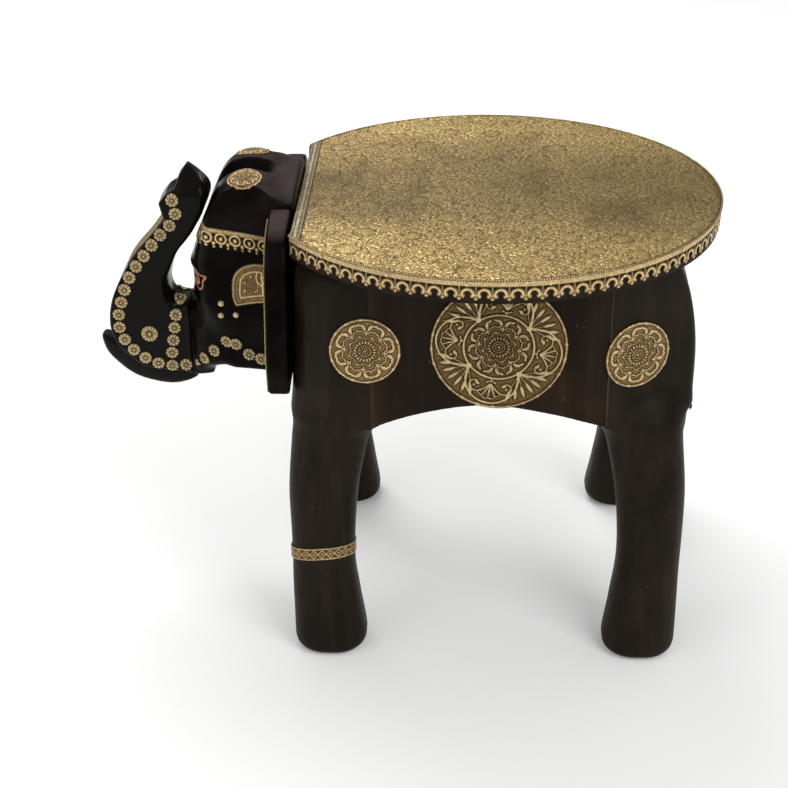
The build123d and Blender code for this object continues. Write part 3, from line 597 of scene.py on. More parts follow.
def rose_punch(size, petals, turn):
    """A rose: rings of wavy petals round a tight middle, each ring raised at its rim."""
    def shape(u, v):
        far, way = np.hypot(u, v) / size, np.arctan2(v, u) + turn
        wave = far / (1 - 0.085 * np.abs(np.sin(way * petals / 2)))
        ring = np.abs(np.sin((wave + 0.045 * np.sin(way)) * math.pi * 3.5))
        spoke = 0.78 + 0.22 * np.cos(way * petals * 2)
        return np.where(wave < 1, ring**0.7 * np.where(wave > 0.62, spoke, 1), 0)
    return shape


def dot(size):
    """A round bead."""
    return lambda u, v: np.sqrt(np.clip(1 - (u**2 + v**2) / size**2, 0, 1))


chance = np.random.default_rng(7)
sheet_map = Canvas((-seat_radius, -seat_radius), (seat_radius, seat_radius), 0.5)
roses = []
rose_pitch, rose_row, stray = 42, 38, 7             # how far apart the roses stand, and how far each may stray
for i in range(-5, 6):
    for j in range(-5, 6):
        x = rose_pitch * (i + 0.5 * (j % 2)) + chance.uniform(-stray, stray)
        y = rose_row * j + chance.uniform(-stray, stray)
        size = chance.uniform(6.5, 11.5)
        if math.hypot(x, y) < seat_radius - size - 1 and x > chord_x + border_width + size:
            roses.append((x, y, size + 0.6))
            sheet_map.struck((x, y), size, rose_punch(size, int(chance.integers(5, 9)), chance.uniform(0, 6)))
roses = np.array(roses)
pitch, row_pitch = 3.3, 0.87                        # leaf spacing, and the rows' spacing as a share of it
for i in range(int(2 * seat_radius / pitch)):
    for j in range(int(2 * seat_radius / pitch / row_pitch)):
        x = (i + 0.5 * (j % 2)) * pitch - seat_radius + chance.uniform(-0.7, 0.7)
        y = j * pitch * row_pitch - seat_radius + chance.uniform(-0.7, 0.7)
        if math.hypot(x, y) > seat_radius - 1.4 or x < chord_x + border_width + 1.2:
            continue
        if (np.hypot(roses[:, 0] - x, roses[:, 1] - y) < roses[:, 2] + 0.3).any():
            continue
        flow = 2.4 * math.sin(x / 17 + 1.3 * math.sin(y / 23)) + 2.1 * math.cos(y / 15 + x / 31)
        if (i * 7 + j * 5) % 6 == 0:
            sheet_map.struck((x, y), 1.5, dot(2.2 ** 0.5))
        else:
            length = chance.uniform(2.0, 3.1)
            way = flow + chance.uniform(-0.3, 0.3)
            sheet_map.struck((x, y), length * 1.2, leaf_punch(way, length, 1.25, chance.uniform(-0.9, 0.9)))


def cells(grid):
    """The four corners of each cell of a grid."""
    return np.stack([grid[:-1, :-1], grid[1:, :-1], grid[1:, 1:], grid[:-1, 1:]], axis=-1)


def open_edges(quads, count):
    """The edges that only one face has, each in that face's own order."""
    edges = np.concatenate([quads[:, [k, (k + 1) % 4]] for k in range(4)])
    key = edges.min(axis=1) * count + edges.max(axis=1)
    _, first, times = np.unique(key, return_index=True, return_counts=True)
    return edges[first[times == 1]]


def plate(name, low, high, cell, height, rise, finish, nodes):
    """A thin embossed plate on the seat: the height map on top, a skirt round it and a flat back."""
    xs, ys = (np.linspace(a, b, int((b - a) / cell) + 1) for a, b in zip(low, high))
    x, y = (a.ravel() for a in np.meshgrid(xs, ys, indexing="ij"))
    quads = cells(np.arange(len(x)).reshape(len(xs), len(ys))).reshape(-1, 4)
    x, y, kept = within_seat(x, y, quads)
    used, index = np.unique(quads[kept], return_inverse=True)
    quads = index.reshape(-1, 4)
    x, y = x[used], y[used]
    raised = height(x, y)
    top = np.stack([x, y, seat_height - rise + rise * raised], axis=1)
    rim = open_edges(quads, len(x))
    corner, place = np.unique(rim, return_inverse=True)
    under = place.reshape(rim.shape) + len(x)
    skirt = np.stack([rim[:, 1], rim[:, 0], under[:, 0], under[:, 1]], axis=1)
    middle = np.full(len(rim), len(x) + len(corner))
    fan = np.stack([under[:, 1], under[:, 0], middle], axis=1)
    bottom = np.stack([x[corner], y[corner], np.full(len(corner), sheet_back)], axis=1)
    points = np.vstack([top, bottom, [[x.mean(), y.mean(), sheet_back]]])
    groove = np.concatenate([raised, np.zeros(len(corner) + 1)])
    return piece(name, points, [np.vstack([quads, skirt]), fan], finish, nodes, patina=groove)


def within_seat(x, y, quads):
    """Keeps the grid inside the disc and pulls its rim out to the true circle."""
    far = np.hypot(x, y)
    kept = (far[quads] < seat_radius + 0.3).all(axis=1)
    edge = np.zeros(len(x), bool)
    used, count = np.unique(quads[kept], return_counts=True)
    edge[used[count < 4]] = True
    edge &= far > seat_radius - 2.4
    scale = np.where(edge, (seat_radius - 0.05) / np.maximum(far, 1), 1)
    return x * scale, y * scale, kept


def brass(name, groove, ground, bright, shine, browned=0.35, fine=260.0, cut=0.3, painted_middle_shade=0.0):
    """Old brass: dark wax in the grooves, a mid tone on the ground, rubbed bright on the crests, and where asked a
    painted shade that browns a band along the middle.
    """
    made, shader, place = start(name)
    crest = mark(place, "patina")
    cloud = place.noise(11.0, 4.0, 0.6, 0.5)
    speck = place.noise(420.0, 3.0, 0.6)
    ripple = place.node("ShaderNodeTexNoise", {}, {"Vector": place, "Scale": 120.0, "Detail": 2.0}, 1)
    bent = place.node("ShaderNodeVectorMath", {"operation": "MULTIPLY_ADD"}, {0: ripple, 1: (0.009,) * 3, 2: place})
    graved = place.node("ShaderNodeTexVoronoi", {"feature": "DISTANCE_TO_EDGE"}, {"Vector": bent, "Scale": fine})
    graved = graved.step(0.02, 0.17)
    level = crest * (1 - cut) + graved * cut + (speck - 0.5) * 0.35
    metal = level.step(0.05, 0.5).tint(groove, ground)
    metal = level.step(0.4, 1.0).tint(metal, bright)
    # Painted shade: a band along the middle, away from the near and back edges, is browned and made rougher.
    from_middle = place.math("ABSOLUTE", place.part(1)).step(0.03, 0.17)
    tarnish_and_shade = cloud.step(0.42, 0.66) * browned + (1 - from_middle) * painted_middle_shade
    metal = tarnish_and_shade.tint(metal, (0.125, 0.080, 0.032))
    rough = shine + (1 - level.step(0.1, 0.9)) * 0.25 + tarnish_and_shade * 0.12
    relief = (graved * 0.8 + speck * 0.3).bump(0.0005, 0.5)
    feed(shader, Base_Color=metal, Roughness=rough, Normal=relief, Metallic=level.step(-0.1, 0.5) * 0.5 + 0.3)
    return made


# The sheet's middle band is browned as a painted shade.
sheet_brass = brass("embossed_sheet_brass", (0.080, 0.050, 0.017), (0.34, 0.225, 0.072), (0.76, 0.58, 0.24), 0.36, 0.3,
                    330.0, 0.4, 0.6)
plate("embossed_sheet", (chord_x + border_width, -seat_radius), (seat_radius, seat_radius), 1.22, sheet_map.read,
      0.9, sheet_brass, ["seat_sheet"])

# ---------------------------------------------------------------- border strip at the straight front edge
# A narrow strip of the same sheet is nailed along the sawn front: a line at each edge and a running row of
# small lozenges and dots between them.
border_pixel, lozenge_pitch = 0.4, 6.2
border_map = Canvas((0, -seat_radius), (border_width, seat_radius), border_pixel)
for y in np.arange(-seat_radius + 2, seat_radius - 1, lozenge_pitch):
    border_map.struck((border_width / 2, y), 3.1, leaf_punch(0.9, 3.0, 1.5, 0.5))
    border_map.struck((border_width / 2, y + lozenge_pitch / 2), 1.3, lambda u, v: np.clip(1.6 - np.hypot(u, v), 0, 1))
across = np.arange(border_map.height.shape[0]) * border_pixel
rails = np.exp(-((across - 1.2) / 0.5) ** 2) + np.exp(-((across - border_width + 1.2) / 0.5) ** 2)
border_map.height = np.maximum(border_map.height, rails[:, None])
border_brass = brass("border_brass", (0.08, 0.06, 0.034), (0.26, 0.21, 0.12), (0.50, 0.43, 0.28), 0.34)
plate("border_strip", (chord_x, -seat_radius), (chord_x + border_width, seat_radius), 0.8,
      lambda x, y: border_map.read(x - chord_x, y), 0.7, border_brass, ["seat_border"])

# ---------------------------------------------------------------- beaded wire round the seat
# A milled brass wire, wound like a fine rope, covers the sheet's cut edge and runs round the disc from one
# front corner to the other.
rim_start = math.acos(chord_x / seat_radius)        # the front corner, as an angle from the tail end
rope_lay = 2.3                                      # the length of one twist
strand_depth = 0.28


def round_seat(radius, height, angle):
    """Points on a circle round the seat, as (x, y, z)."""
    radius, height, angle = np.broadcast_arrays(radius, height, angle)
    return np.stack([radius * np.cos(angle), radius * np.sin(angle), height], axis=-1)


rope_angle = np.linspace(-rim_start, rim_start, 1560)[:, None]
turn = np.linspace(0, 2 * math.pi, 10, endpoint=False)[None]
lay = 0.5 + 0.5 * np.cos(rope_angle * seat_radius * 2 * math.pi / rope_lay + turn)
thick = (wire_top - wire_bottom) / 2
strand = thick - strand_depth * (1 - lay)
rope = round_seat(seat_radius + 0.05 + thick - strand * np.cos(turn), wire_bottom + thick + strand * np.sin(turn),
                  rope_angle)
index = np.arange(lay.size).reshape(lay.shape)
twisted = cells(np.hstack([index, index[:, :1]]))[..., [0, 3, 2, 1]].reshape(-1, 4)
trim_brass = brass("rubbed_trim_brass", (0.055, 0.026, 0.008), (0.30, 0.19, 0.075), (0.96, 0.74, 0.38), 0.28, 0.25,
                   300.0, 0.12)
piece("rope_wire", rope.reshape(-1, 3), [twisted, index[:1, ::-1], index[-1:]], trim_brass,
      ["seat_wire"], patina=lay.ravel())

# ---------------------------------------------------------------- lace round the edge
# Cast strip nailed round the board's edge: a plain band, and under it a row of arches whose feet curl in,
# with a trefoil drop hanging between each two.  The dark edge of the board shows through the arches.
(_, _, lace_bottom), (_, lace_face, lace_top) = span("seat_lace")
loop_pitch = 13.5                                   # about how far apart the arches stand
arches = int(2 * rim_start * seat_radius / loop_pitch)
arch_step = 2 * rim_start / arches
band_low = lace_top - 4.6


def ridge(distance, width, crest):
    """A ridge or a bead: 1 along its crest, and falling off with distance."""
    return np.clip(crest - np.abs(distance) / width, 0, 1)


def highest(parts):
    """The highest of several reliefs at each point."""
    return np.max(np.broadcast_arrays(*parts), axis=0)


def lace_relief(along, height):
    """The strip's relief, 0 to 1, at a distance along one arch (0 at its middle) and a height."""
    from_foot = np.abs(along) - arch_step * seat_radius / 2
    up = height - lace_bottom
    ring = np.hypot(along * 0.92, np.maximum(height - (lace_bottom + 5.6), 0)) - 4.3
    curl = ridge(np.hypot(from_foot + 3.0, up - 3.9), 1.5, 1.4)
    hollow = ridge(np.hypot(from_foot + 2.6, up - 4.2), 0.9, 1.2)
    beads = 0.55 + 0.45 * np.cos(along * 2 * math.pi / 2.25)
    band = np.clip((height - band_low) * 1.5, 0, 1)
    band = band * (0.66 + 0.34 * beads * np.exp(-((height - band_low - 1.5) / 0.9) ** 2)
                   + 0.25 * np.exp(-((height - lace_top + 0.9) / 0.6) ** 2))
    return np.clip(highest([
        ridge(ring, 1.15, 1.35) * (height > lace_bottom + 4.2),
        curl - 0.45 * hollow,
        ridge(np.hypot(from_foot, up - 1.7), 1.35, 1.45),
        ridge(np.hypot(from_foot, up - 4.6), 0.95, 1.4),
        ridge(from_foot, 0.9, 1.2) * (height > lace_bottom + 5.4) * 0.55,
        band]), 0, 1.1)


def openwork(name, at, cast, lifts, finish, nodes, cut=0.12, flip=False):
    """A cast strip.  at(lift) gives its grid of points at a lift off the wood, and the lifts are those of its
    ground, of its relief and of its back.  Cells whose relief stays below cut are left open."""
    outer, inner = at(lifts[0] + lifts[1] * np.clip(cast, 0, 1)), at(np.full(cast.shape, lifts[2]))
    if flip:
        outer, inner, cast = outer[::-1], inner[::-1], cast[::-1]
    quads = cells(np.arange(cast.size).reshape(cast.shape))[cells(cast).max(axis=-1) >= cut]
    rim = open_edges(quads, cast.size)
    skirt = np.stack([rim[:, 1], rim[:, 0], rim[:, 0] + cast.size, rim[:, 1] + cast.size], axis=1)
    used, index = np.unique(np.vstack([quads, quads[:, ::-1] + cast.size, skirt]), return_inverse=True)
    points = np.vstack([outer.reshape(-1, 3), inner.reshape(-1, 3)])[used]
    marks = np.concatenate([cast.ravel(), cast.ravel() * 0.3])[used]
    return piece(name, points, [index.reshape(-1, 4)], finish, nodes, patina=marks)


lace_along = np.arange(22) / 22 - 0.5
lace_angle = (np.arange(arches)[:, None] + 0.5 + lace_along).ravel() * arch_step - rim_start
lace_angle = np.append(lace_angle, rim_start)[:, None]
lace_rows = np.linspace(lace_bottom, lace_top, 24)[None]
beside = np.append(np.tile(lace_along * arch_step * seat_radius, arches), -arch_step * seat_radius / 2)
openwork("loop_lace", lambda lift: round_seat(seat_radius + lift, lace_rows, lace_angle),
         lace_relief(beside[:, None], lace_rows), (0.25, lace_face - seat_radius - 0.3, 0.1), trim_brass,
         ["seat_lace"])

# ---------------------------------------------------------------- lace nails
# Small round-headed brass nails hold the lace at every fifth arch and are rubbed brighter than the strip.
stud_brass = brass("rubbed_stud_brass", (0.10, 0.07, 0.03), (0.5, 0.38, 0.19), (0.82, 0.68, 0.40), 0.26, 0.12, 500.0,
                   0.1)


def flecked(name, scale, spread, low, high, metal, rough, relief, detail=3.0, length=1.0):
    """A plain finish of two close tones in fine flecks, which also stand a little proud."""
    made, shader, place = start(name)
    fleck = place.stretched(1, 1, length).noise(scale, detail, 0.6)
    feed(shader, Base_Color=fleck.step(*spread).tint(low, high), Metallic=metal, Roughness=rough[0] + fleck * rough[1],
         Normal=fleck.bump(*relief))
    return made


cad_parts["lace_nails"].data.materials[0] = flecked(
    "bright_nail_brass", 700.0, (0.3, 0.7), (0.55, 0.40, 0.19), (0.90, 0.72, 0.42), 0.7, (0.24, 0.2), (0.0003, 0.3))

# ---------------------------------------------------------------- medallions on the flanks
# Three discs a side, pressed from thin brass and glued flat to the wood: a large one in the middle with a
# four-lobed figure, and a small flower at each end.  The crests are rubbed and the ground is dark brown.
medal_brass = brass("pressed_medallion_brass", (0.034, 0.016, 0.004), (0.19, 0.112, 0.038), (0.74, 0.56, 0.29), 0.33,
                    0.25, 420.0, 0.1)
small_brass = brass("pressed_flower_brass", (0.055, 0.027, 0.008), (0.30, 0.185, 0.070), (0.98, 0.76, 0.42), 0.33, 0.2,
                    420.0, 0.14)


def lengths_along(line):
    """How far along a line each of its points lies."""
    return np.concatenate([[0], np.cumsum(np.hypot(*np.diff(line, axis=0).T))])


def drawn(canvas, points, width):
    """A raised line through points, in millimetres."""
    points = np.asarray(points, float)
    along = lengths_along(points)
    for s in np.arange(0, along[-1] + 0.01, 0.45):
        canvas.struck([np.interp(s, along, points[:, k]) for k in (0, 1)], width / 2, dot(width / 2))


def turned(points, angle):
    """Points of a plane turned about its middle."""
    c, s = math.cos(angle), math.sin(angle)
    return np.asarray(points) @ np.array([[c, s], [-s, c]])


def arc(middle, radius, low, high, steps=40):
    """Points on an arc, angles in radians."""
    way = np.linspace(low, high, steps)
    return np.stack([middle[0] + radius * np.cos(way), middle[1] + radius * np.sin(way)], axis=1)


def leaf(canvas, middle, way, length, width, bow=0.0, angle=0.0):
    """One leaf of a figure that is turned by angle."""
    canvas.struck(turned([middle], angle)[0], length, leaf_punch(way + angle, length, width, bow))


def beaded(canvas, radius, spacing, size, bright_every=0):
    """Beads on a circle, with a larger one at each few."""
    count = int(2 * math.pi * radius / spacing)
    for k, way in enumerate(np.arange(count) * 2 * math.pi / count):
        grown = 1.45 if bright_every and k % bright_every == 0 else 1.0
        canvas.struck((radius * math.cos(way), radius * math.sin(way)), size * grown, dot(size * grown))


def flower(canvas, reach):
    """Eight wavy petals round a beaded heart, with a pair of leaves springing from each join between petals."""
    size = reach / 30
    way = np.linspace(0, 2 * math.pi, 200)
    for far, swell, wave, width in ((16.6, 4.4, 0.6, 1.25), (11.8, 2.6, 0.5, 0.85)):
        out = size * (far + swell * np.abs(np.sin(4 * way)) ** 0.7 + wave * np.cos(32 * way))
        drawn(canvas, np.stack([out * np.cos(way), out * np.sin(way)], axis=1), width * size)
    for k in range(8):
        join_way = k * math.pi / 4
        drawn(canvas, turned([(16 * size, 0), (20.5 * size, 0)], join_way), 1.2 * size)
        canvas.struck(turned([(19.5 * size, 0)], join_way)[0], 1.2 * size, dot(1.2 * size))
        for side in (-1, 1):
            leaf(canvas, (23.9 * size, 3.3 * side * size), 0.62 * side, 4.9 * size, 1.75 * size, 0.7 * side, join_way)
            leaf(canvas, (25.6 * size, 7.6 * side * size), 1.3 * side, 2.6 * size, 1.2 * size, 0.5 * side, join_way)
        leaf(canvas, (15.2 * size, 0), math.pi / 2, 1.7 * size, 0.8 * size, 0.0, join_way + math.pi / 8)
    for k in range(20):
        leaf(canvas, (9.0 * size, 0), 0, 1.9 * size, 0.95 * size, 0.0, k * math.pi / 10)
    beaded(canvas, 5.4 * size, 1.9 * size, 0.85 * size)
    beaded(canvas, 3.2 * size, 1.8 * size, 0.8 * size)
    canvas.struck((0, 0), 1.5 * size, dot(1.5 * size))


def grounded(canvas, level, spread):
    """Lifts the open ground a little, and leaves a dark moat beside every raised line."""
    soft = canvas.height
    for _ in range(spread):
        soft = (soft + np.roll(soft, 1, 0) + np.roll(soft, -1, 0) + np.roll(soft, 1, 1) + np.roll(soft, -1, 1)) / 5
    canvas.height = np.maximum(canvas.height, np.clip(level - 2.1 * soft, 0, level))


large_radius, small_radius = (np.ptp(span(f"medallion_{kind}_left"), axis=0)[0] / 2 for kind in ("large", "front"))
large_map = Canvas((-large_radius, -large_radius), (large_radius, large_radius), 0.3)
beaded(large_map, large_radius - 1.5, 2.0, 1.2, 7)
inner, line = large_radius * 0.51, 2.4
drawn(large_map, arc((0, 0), inner, 0, 2 * math.pi, 80), line)
lobe_middle, lobe_radius = large_radius * 0.533, large_radius * 0.385
palmette_x = 36.6
scroll = curve([(36.4, 0.6), (41, 4.6), (44.6, 10.2), (43.8, 16.3), (39.6, 18.8), (35.4, 17.0), (34.8, 12.8),
                (37.6, 10.6)], 5)
hollow_petal = curve([(0, 0), (8, 1.5), (13.6, 2.9), (14.8, 0), (13.6, -2.9), (8, -1.5), (0, 0)], 5)


def bead(canvas, middle, size, angle):
    """One bead of a figure that is turned by angle."""
    canvas.struck(turned([middle], angle)[0], size, dot(size))


for quarter in np.arange(4) * math.pi / 2:
    drawn(large_map, turned(arc((lobe_middle, 0), lobe_radius, -2.05, 2.05, 50), quarter), line)
    for k in (-1.5, -0.5, 0.5, 1.5):
        petal = turned(hollow_petal * (1 - 0.06 * abs(k)), k * 0.46) + [palmette_x, 0]
        drawn(large_map, turned(petal, quarter), 1.2)
    for side in (-1, 1):
        drawn(large_map, turned(scroll * [1, side], quarter), 1.55)
        leaf(large_map, (36.9, 11.8 * side), 1.9 * side, 3.0, 1.4, 0.6 * side, quarter)
        bead(large_map, (39.6, 14.4 * side), 1.5, quarter)
        leaf(large_map, (34.4, 3.2 * side), 1.2 * side, 2.4, 0.9, 0.8 * side, quarter)
    bead(large_map, (inner + 2.6, 0), 1.7, quarter)
    diagonal = quarter + math.pi / 4
    bead(large_map, (inner + 1.6, 0), 2.2, diagonal)
    for k in range(-3, 4):
        tip = 54.5 * np.array([math.cos(k * 0.162), math.sin(k * 0.162)])
        root, bow = np.array([inner + 2.5, 0.5 * k]), np.array([0, 0.9 * k])
        stem = curve([root, root * 0.6 + tip * 0.4 + bow, tip], 10)
        drawn(large_map, turned(stem, diagonal), 1.0)
        run = tip - stem[len(stem) // 2]
        leaf(large_map, root * 0.3 + tip * 0.7 + bow * 0.6, math.atan2(run[1], run[0]), 6.6, 1.75, 0.0, diagonal)
    for side in (-1, 1):
        bead(large_map, (46.0, 6.0 * side), 1.0, diagonal)
flower(large_map, inner - 1.6)
grounded(large_map, 0.40, 14)

small_map = Canvas((-small_radius, -small_radius), (small_radius, small_radius), 0.25)
beaded(small_map, small_radius - 1.3, 1.9, 1.1, 7)
flower(small_map, small_radius - 2.6)
for k in range(8):
    leaf(small_map, (25.4, 0), math.pi / 2, 2.2, 1.0, 0.0, (k + 0.5) * math.pi / 4)
grounded(small_map, 0.40, 14)


def settled(form, points, facing, low=-16.0, high=16.0):
    """Moves points along the way they face until they lie on the wood, looking between two distances."""
    low, high = np.full(len(points), low), np.full(len(points), high)
    for _ in range(22):
        middle = (low + high) / 2
        inside = form(*(points + middle[:, None] * facing).T) < 0
        low, high = np.where(inside, middle, low), np.where(inside, high, middle)
    return points + low[:, None] * facing


def pressed(name, places, radius, relief, rise, thick, rings, spokes, finish, nodes, drape=None,
            edge=lambda way: 1.0, dome=0.0, reach=16.0):
    """Pressed discs.  Each place is a middle on the wood, the way it faces and its turn."""
    way = np.linspace(0, 2 * math.pi, spokes, endpoint=False)[None]
    share = (np.arange(1, rings + 1) / rings)[:, None]
    far = share * radius * edge(way) + 0 * way
    bulge = dome * (1 - np.append(0, np.broadcast_to(share, far.shape)) ** 2)
    plan = [np.concatenate([[0], (far * part(way)).ravel(), far[-1] * part(way[0]), [0]]) for part in (np.cos, np.sin)]
    index = np.arange(rings * spokes).reshape(rings, spokes) + 1
    index = np.hstack([index, index[:, :1]])
    base = rings * spokes + 1 + np.arange(spokes)
    after = np.roll(base, -1)
    top = cells(index).reshape(-1, 4)
    wall = np.stack([index[-1, :-1], base, after, index[-1, 1:]], axis=-1)
    fan = np.stack([np.zeros(spokes, int), index[0, :-1], index[0, 1:]], axis=-1)
    bottom = np.stack([np.full(spokes, base[-1] + 1), after, base], axis=-1)
    count = base[-1] + 2
    points, marks, quads, fans = [], [], [], []
    for k, (middle, facing, angle) in enumerate(places):
        facing = np.array(facing, float) / np.linalg.norm(facing)
        u = np.cross((0, 0, 1.0), facing) if abs(facing[2]) < 0.9 else np.cross(facing, (0, 1.0, 0))
        u /= np.linalg.norm(u)
        spots = np.array(middle) + plan[0][:, None] * u + plan[1][:, None] * np.cross(facing, u)
        if drape is not None:
            spots = settled(drape, spots, facing, -reach, reach)
        raised = relief(far * np.cos(way - angle), far * np.sin(way - angle))
        raised = np.append(relief(np.zeros(1), np.zeros(1)), raised)
        lift = np.append(thick + rise * raised + bulge, np.zeros(spokes + 1))
        points.append(spots + lift[:, None] * facing)
        marks.append(np.append(raised, np.zeros(spokes + 1)))
        quads.append(np.vstack([top, wall]) + k * count)
        fans.append(np.vstack([fan, bottom]) + k * count)
    return piece(name, np.vstack(points), [np.vstack(quads), np.vstack(fans)], finish, nodes,
                 patina=np.concatenate(marks))


def points_of(node):
    """A CAD node's points, in millimetres from the seat's middle."""
    return np.array([v.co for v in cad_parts[node].data.vertices]) / mm - [seat_x / mm, 0, 0]


def thin_axis(points):
    """The middle of a flat thing's box and the way it is thinnest."""
    axes = np.linalg.eigh(np.cov((points - points.mean(axis=0)).T))[1]
    along = points @ axes
    return axes @ ((along.min(axis=0) + along.max(axis=0)) / 2), axes[:, 0]


def disc_place(node, angle):
    """A flat disc's middle on the wood, the way it faces and its turn, from its CAD node."""
    middle, facing = thin_axis(points_of(node))
    side = math.copysign(1, middle[1])
    facing = facing * math.copysign(1, facing[1] * side)
    return [(middle - facing * 0.75, facing, angle * side)]


for _, hand in hands:
    pressed(f"lobed_medallion_{hand}", disc_place(f"medallion_large_{hand}", 0.18), large_radius, large_map.read,
            1.5, 0.7, 150, 420, medal_brass, [f"medallion_large_{hand}"])
    for end, angle in (("front", 0.1), ("rear", 0.42)):
        pressed(f"flower_medallion_{end}_{hand}", disc_place(f"medallion_{end}_{hand}", angle), small_radius,
                small_map.read, 1.3, 0.7, 90, 280, small_brass, [f"medallion_{end}_{hand}"])

# ---------------------------------------------------------------- crown medallions and headband
# A small pressed disc is bent over each dome.  Below them a cast strip runs round the forehead from ear to
# ear: a rope line on top, a row of rings with a ball in each, and small balls hanging between.
crown_low, crown_high = span("crown_medallion_left")
crown_radius = (crown_high - crown_low)[0] / 2
crown_x, crown_y, _ = (crown_low + crown_high) / 2
dome_height = 425.0
crown_map = Canvas((-crown_radius - 1, -crown_radius - 1), (crown_radius + 1, crown_radius + 1), 0.2)
beaded(crown_map, crown_radius - 1.1, 2.0, 1.0)
flower(crown_map, crown_radius - 2.2)
grounded(crown_map, 0.35, 8)
for side, hand in hands:
    pressed(f"dome_medallion_{hand}", [((crown_x, -crown_y * side, dome_height), (-0.06, 0.1 * side, 1), 0.2)],
            crown_radius, crown_map.read, 0.9, 0.35, 46, 150, small_brass,
            [f"crown_medallion_{hand}"], head_form, lambda way: 0.965 + 0.025 * np.cos(way * 16), reach=3.6)

quarter_length = 84.0                               # the band's length round each temple


def round_head(angle, height, lift):
    """Points round the head, at a plan distance in mm from its front middle, negative to the left."""
    straight = ear_front - turn_x
    angle, height = np.broadcast_arrays(angle, height)
    beyond = np.clip((np.abs(angle) - quarter_length) / straight, 0, 1)
    t = np.clip(angle / quarter_length, -1, 1) * math.pi / 2
    origin = np.stack([turn_x + beyond * straight, np.zeros_like(height), height], axis=-1).reshape(-1, 3)
    way = np.stack([-np.cos(t), np.sin(t), np.zeros_like(t)], axis=-1).reshape(-1, 3)
    return (settled(head_form, origin, way, 0.0, 90.0) + lift.reshape(-1, 1) * way).reshape(height.shape + (3,))


band_half = quarter_length + ear_front - turn_x - 0.3
band_rings = 2 * int(band_half / loop_pitch) + 1
band_pitch = 2 * band_half / band_rings
band_along = np.linspace(-band_half, band_half, band_rings * 22 + 1)[:, None]
band_drop = np.linspace(0, 20.0, 34)[None]
band_crest = np.interp(np.abs(band_along), [0, 40, 70, 84, 110, band_half], [374, 379, 388.5, 387, 383, 378.5])
beside = (band_along + band_half) % band_pitch - band_pitch / 2
between = np.abs(beside) - band_pitch / 2
cast = highest([
    ridge(np.hypot(beside, band_drop - 9.2) - 4.7, 1.05, 1.35),
    ridge(np.hypot(beside, band_drop - 9.6), 1.7, 1.5),
    ridge(np.hypot(between, band_drop - 14.2), 1.5, 1.5),
    ridge(np.hypot(between, band_drop - 17.6), 1.0, 1.5),
    ridge(np.hypot(beside, band_drop - 16.4), 1.4, 1.4),
    ridge(band_drop - 1.8, 1.2, 1.8) * (0.72 + 0.28 * np.cos(band_along * math.pi + band_drop)),
    ridge(band_drop - 4.1, 0.7, 1.5) * 0.55])
openwork("forehead_band", lambda lift: round_head(band_along, band_crest - band_drop, lift), cast, (0.3, 1.3, 0.05),
         trim_brass, ["headband"])

# ---------------------------------------------------------------- cheek paisleys and ear edging
# A pressed brass paisley stands on each cheek with its curl against the ear, and a scalloped brass strip with
# small rings edges the front face of each ear.  Both are tacked down.
paisley_rim = [(-230.7, 311), (-233.2, 318), (-233.7, 327), (-232, 340), (-225, 349), (-214, 353), (-205, 352.5),
               (-197.7, 349), (-197.7, 315), (-212, 314), (-222, 312.5)]
paisley_rim = np.vstack([curve(paisley_rim[:8], 5), curve(paisley_rim[8:], 5)])
u, v = np.meshgrid(np.arange(-234.4, -197.2, 0.5), np.arange(310.4, 354, 0.5), indexing="ij")
inward = -inside_of(paisley_rim, u, v)
round_it = np.arctan2(v - 331, u + 207)
core = np.hypot(u + 201.5, v - 340)
cast = highest([
    np.where(inward > 0, 0.34, 0),
    ridge(inward - 1.4, 1.1, 1.3) * (0.85 + 0.15 * np.cos(round_it * 50)) * (inward > 0),
    ridge(inward - 4.4, 1.4, 1.2) * (0.3 + 0.4 * np.cos(round_it * 70)),
    ridge(inward - 7.6, 1.3, 1.3),
    ridge(inward - 11.8, 1.2, 1.3) * np.clip(1.4 * np.cos(round_it * 11), 0, 1),
    ridge(core - 9.2, 1.2, 1.3) * (inward > 8),
    ridge(inward - 9.6, 0.5, 1.2) * 0.6,
    ridge(core - 4.6, 0.9, 1.3) * (inward > 8),
    ridge(core, 2.2, 1.5)])

edging_pitch = 5.4
outer_edge = ear_rim[2:-1]
along = lengths_along(outer_edge)
s = np.arange(0.5, along[-1] - 0.5, 0.55)
edge = np.stack([np.interp(s, along, outer_edge[:, k]) for k in (0, 1)], axis=1)
inner_way = np.gradient(edge, axis=0)
inner_way = np.stack([inner_way[:, 1], -inner_way[:, 0]], axis=1) / np.hypot(*inner_way.T)[:, None]
depth = np.arange(2.2, 8.3, 0.45)
spots = edge[:, None] + inner_way[:, None] * depth[None, :, None]
s, depth = s[:, None], depth[None]
beside = s % edging_pitch - edging_pitch / 2
edging = highest([
    ridge(depth - 2.9, 0.7, 1.5) * (0.75 + 0.25 * np.cos(s * 2 * math.pi / edging_pitch * 3)),
    ridge(np.hypot(beside, depth - 4.9) - 2.0, 0.75, 1.35),
    ridge(np.hypot(beside, depth - 5.1), 0.9, 1.5)])
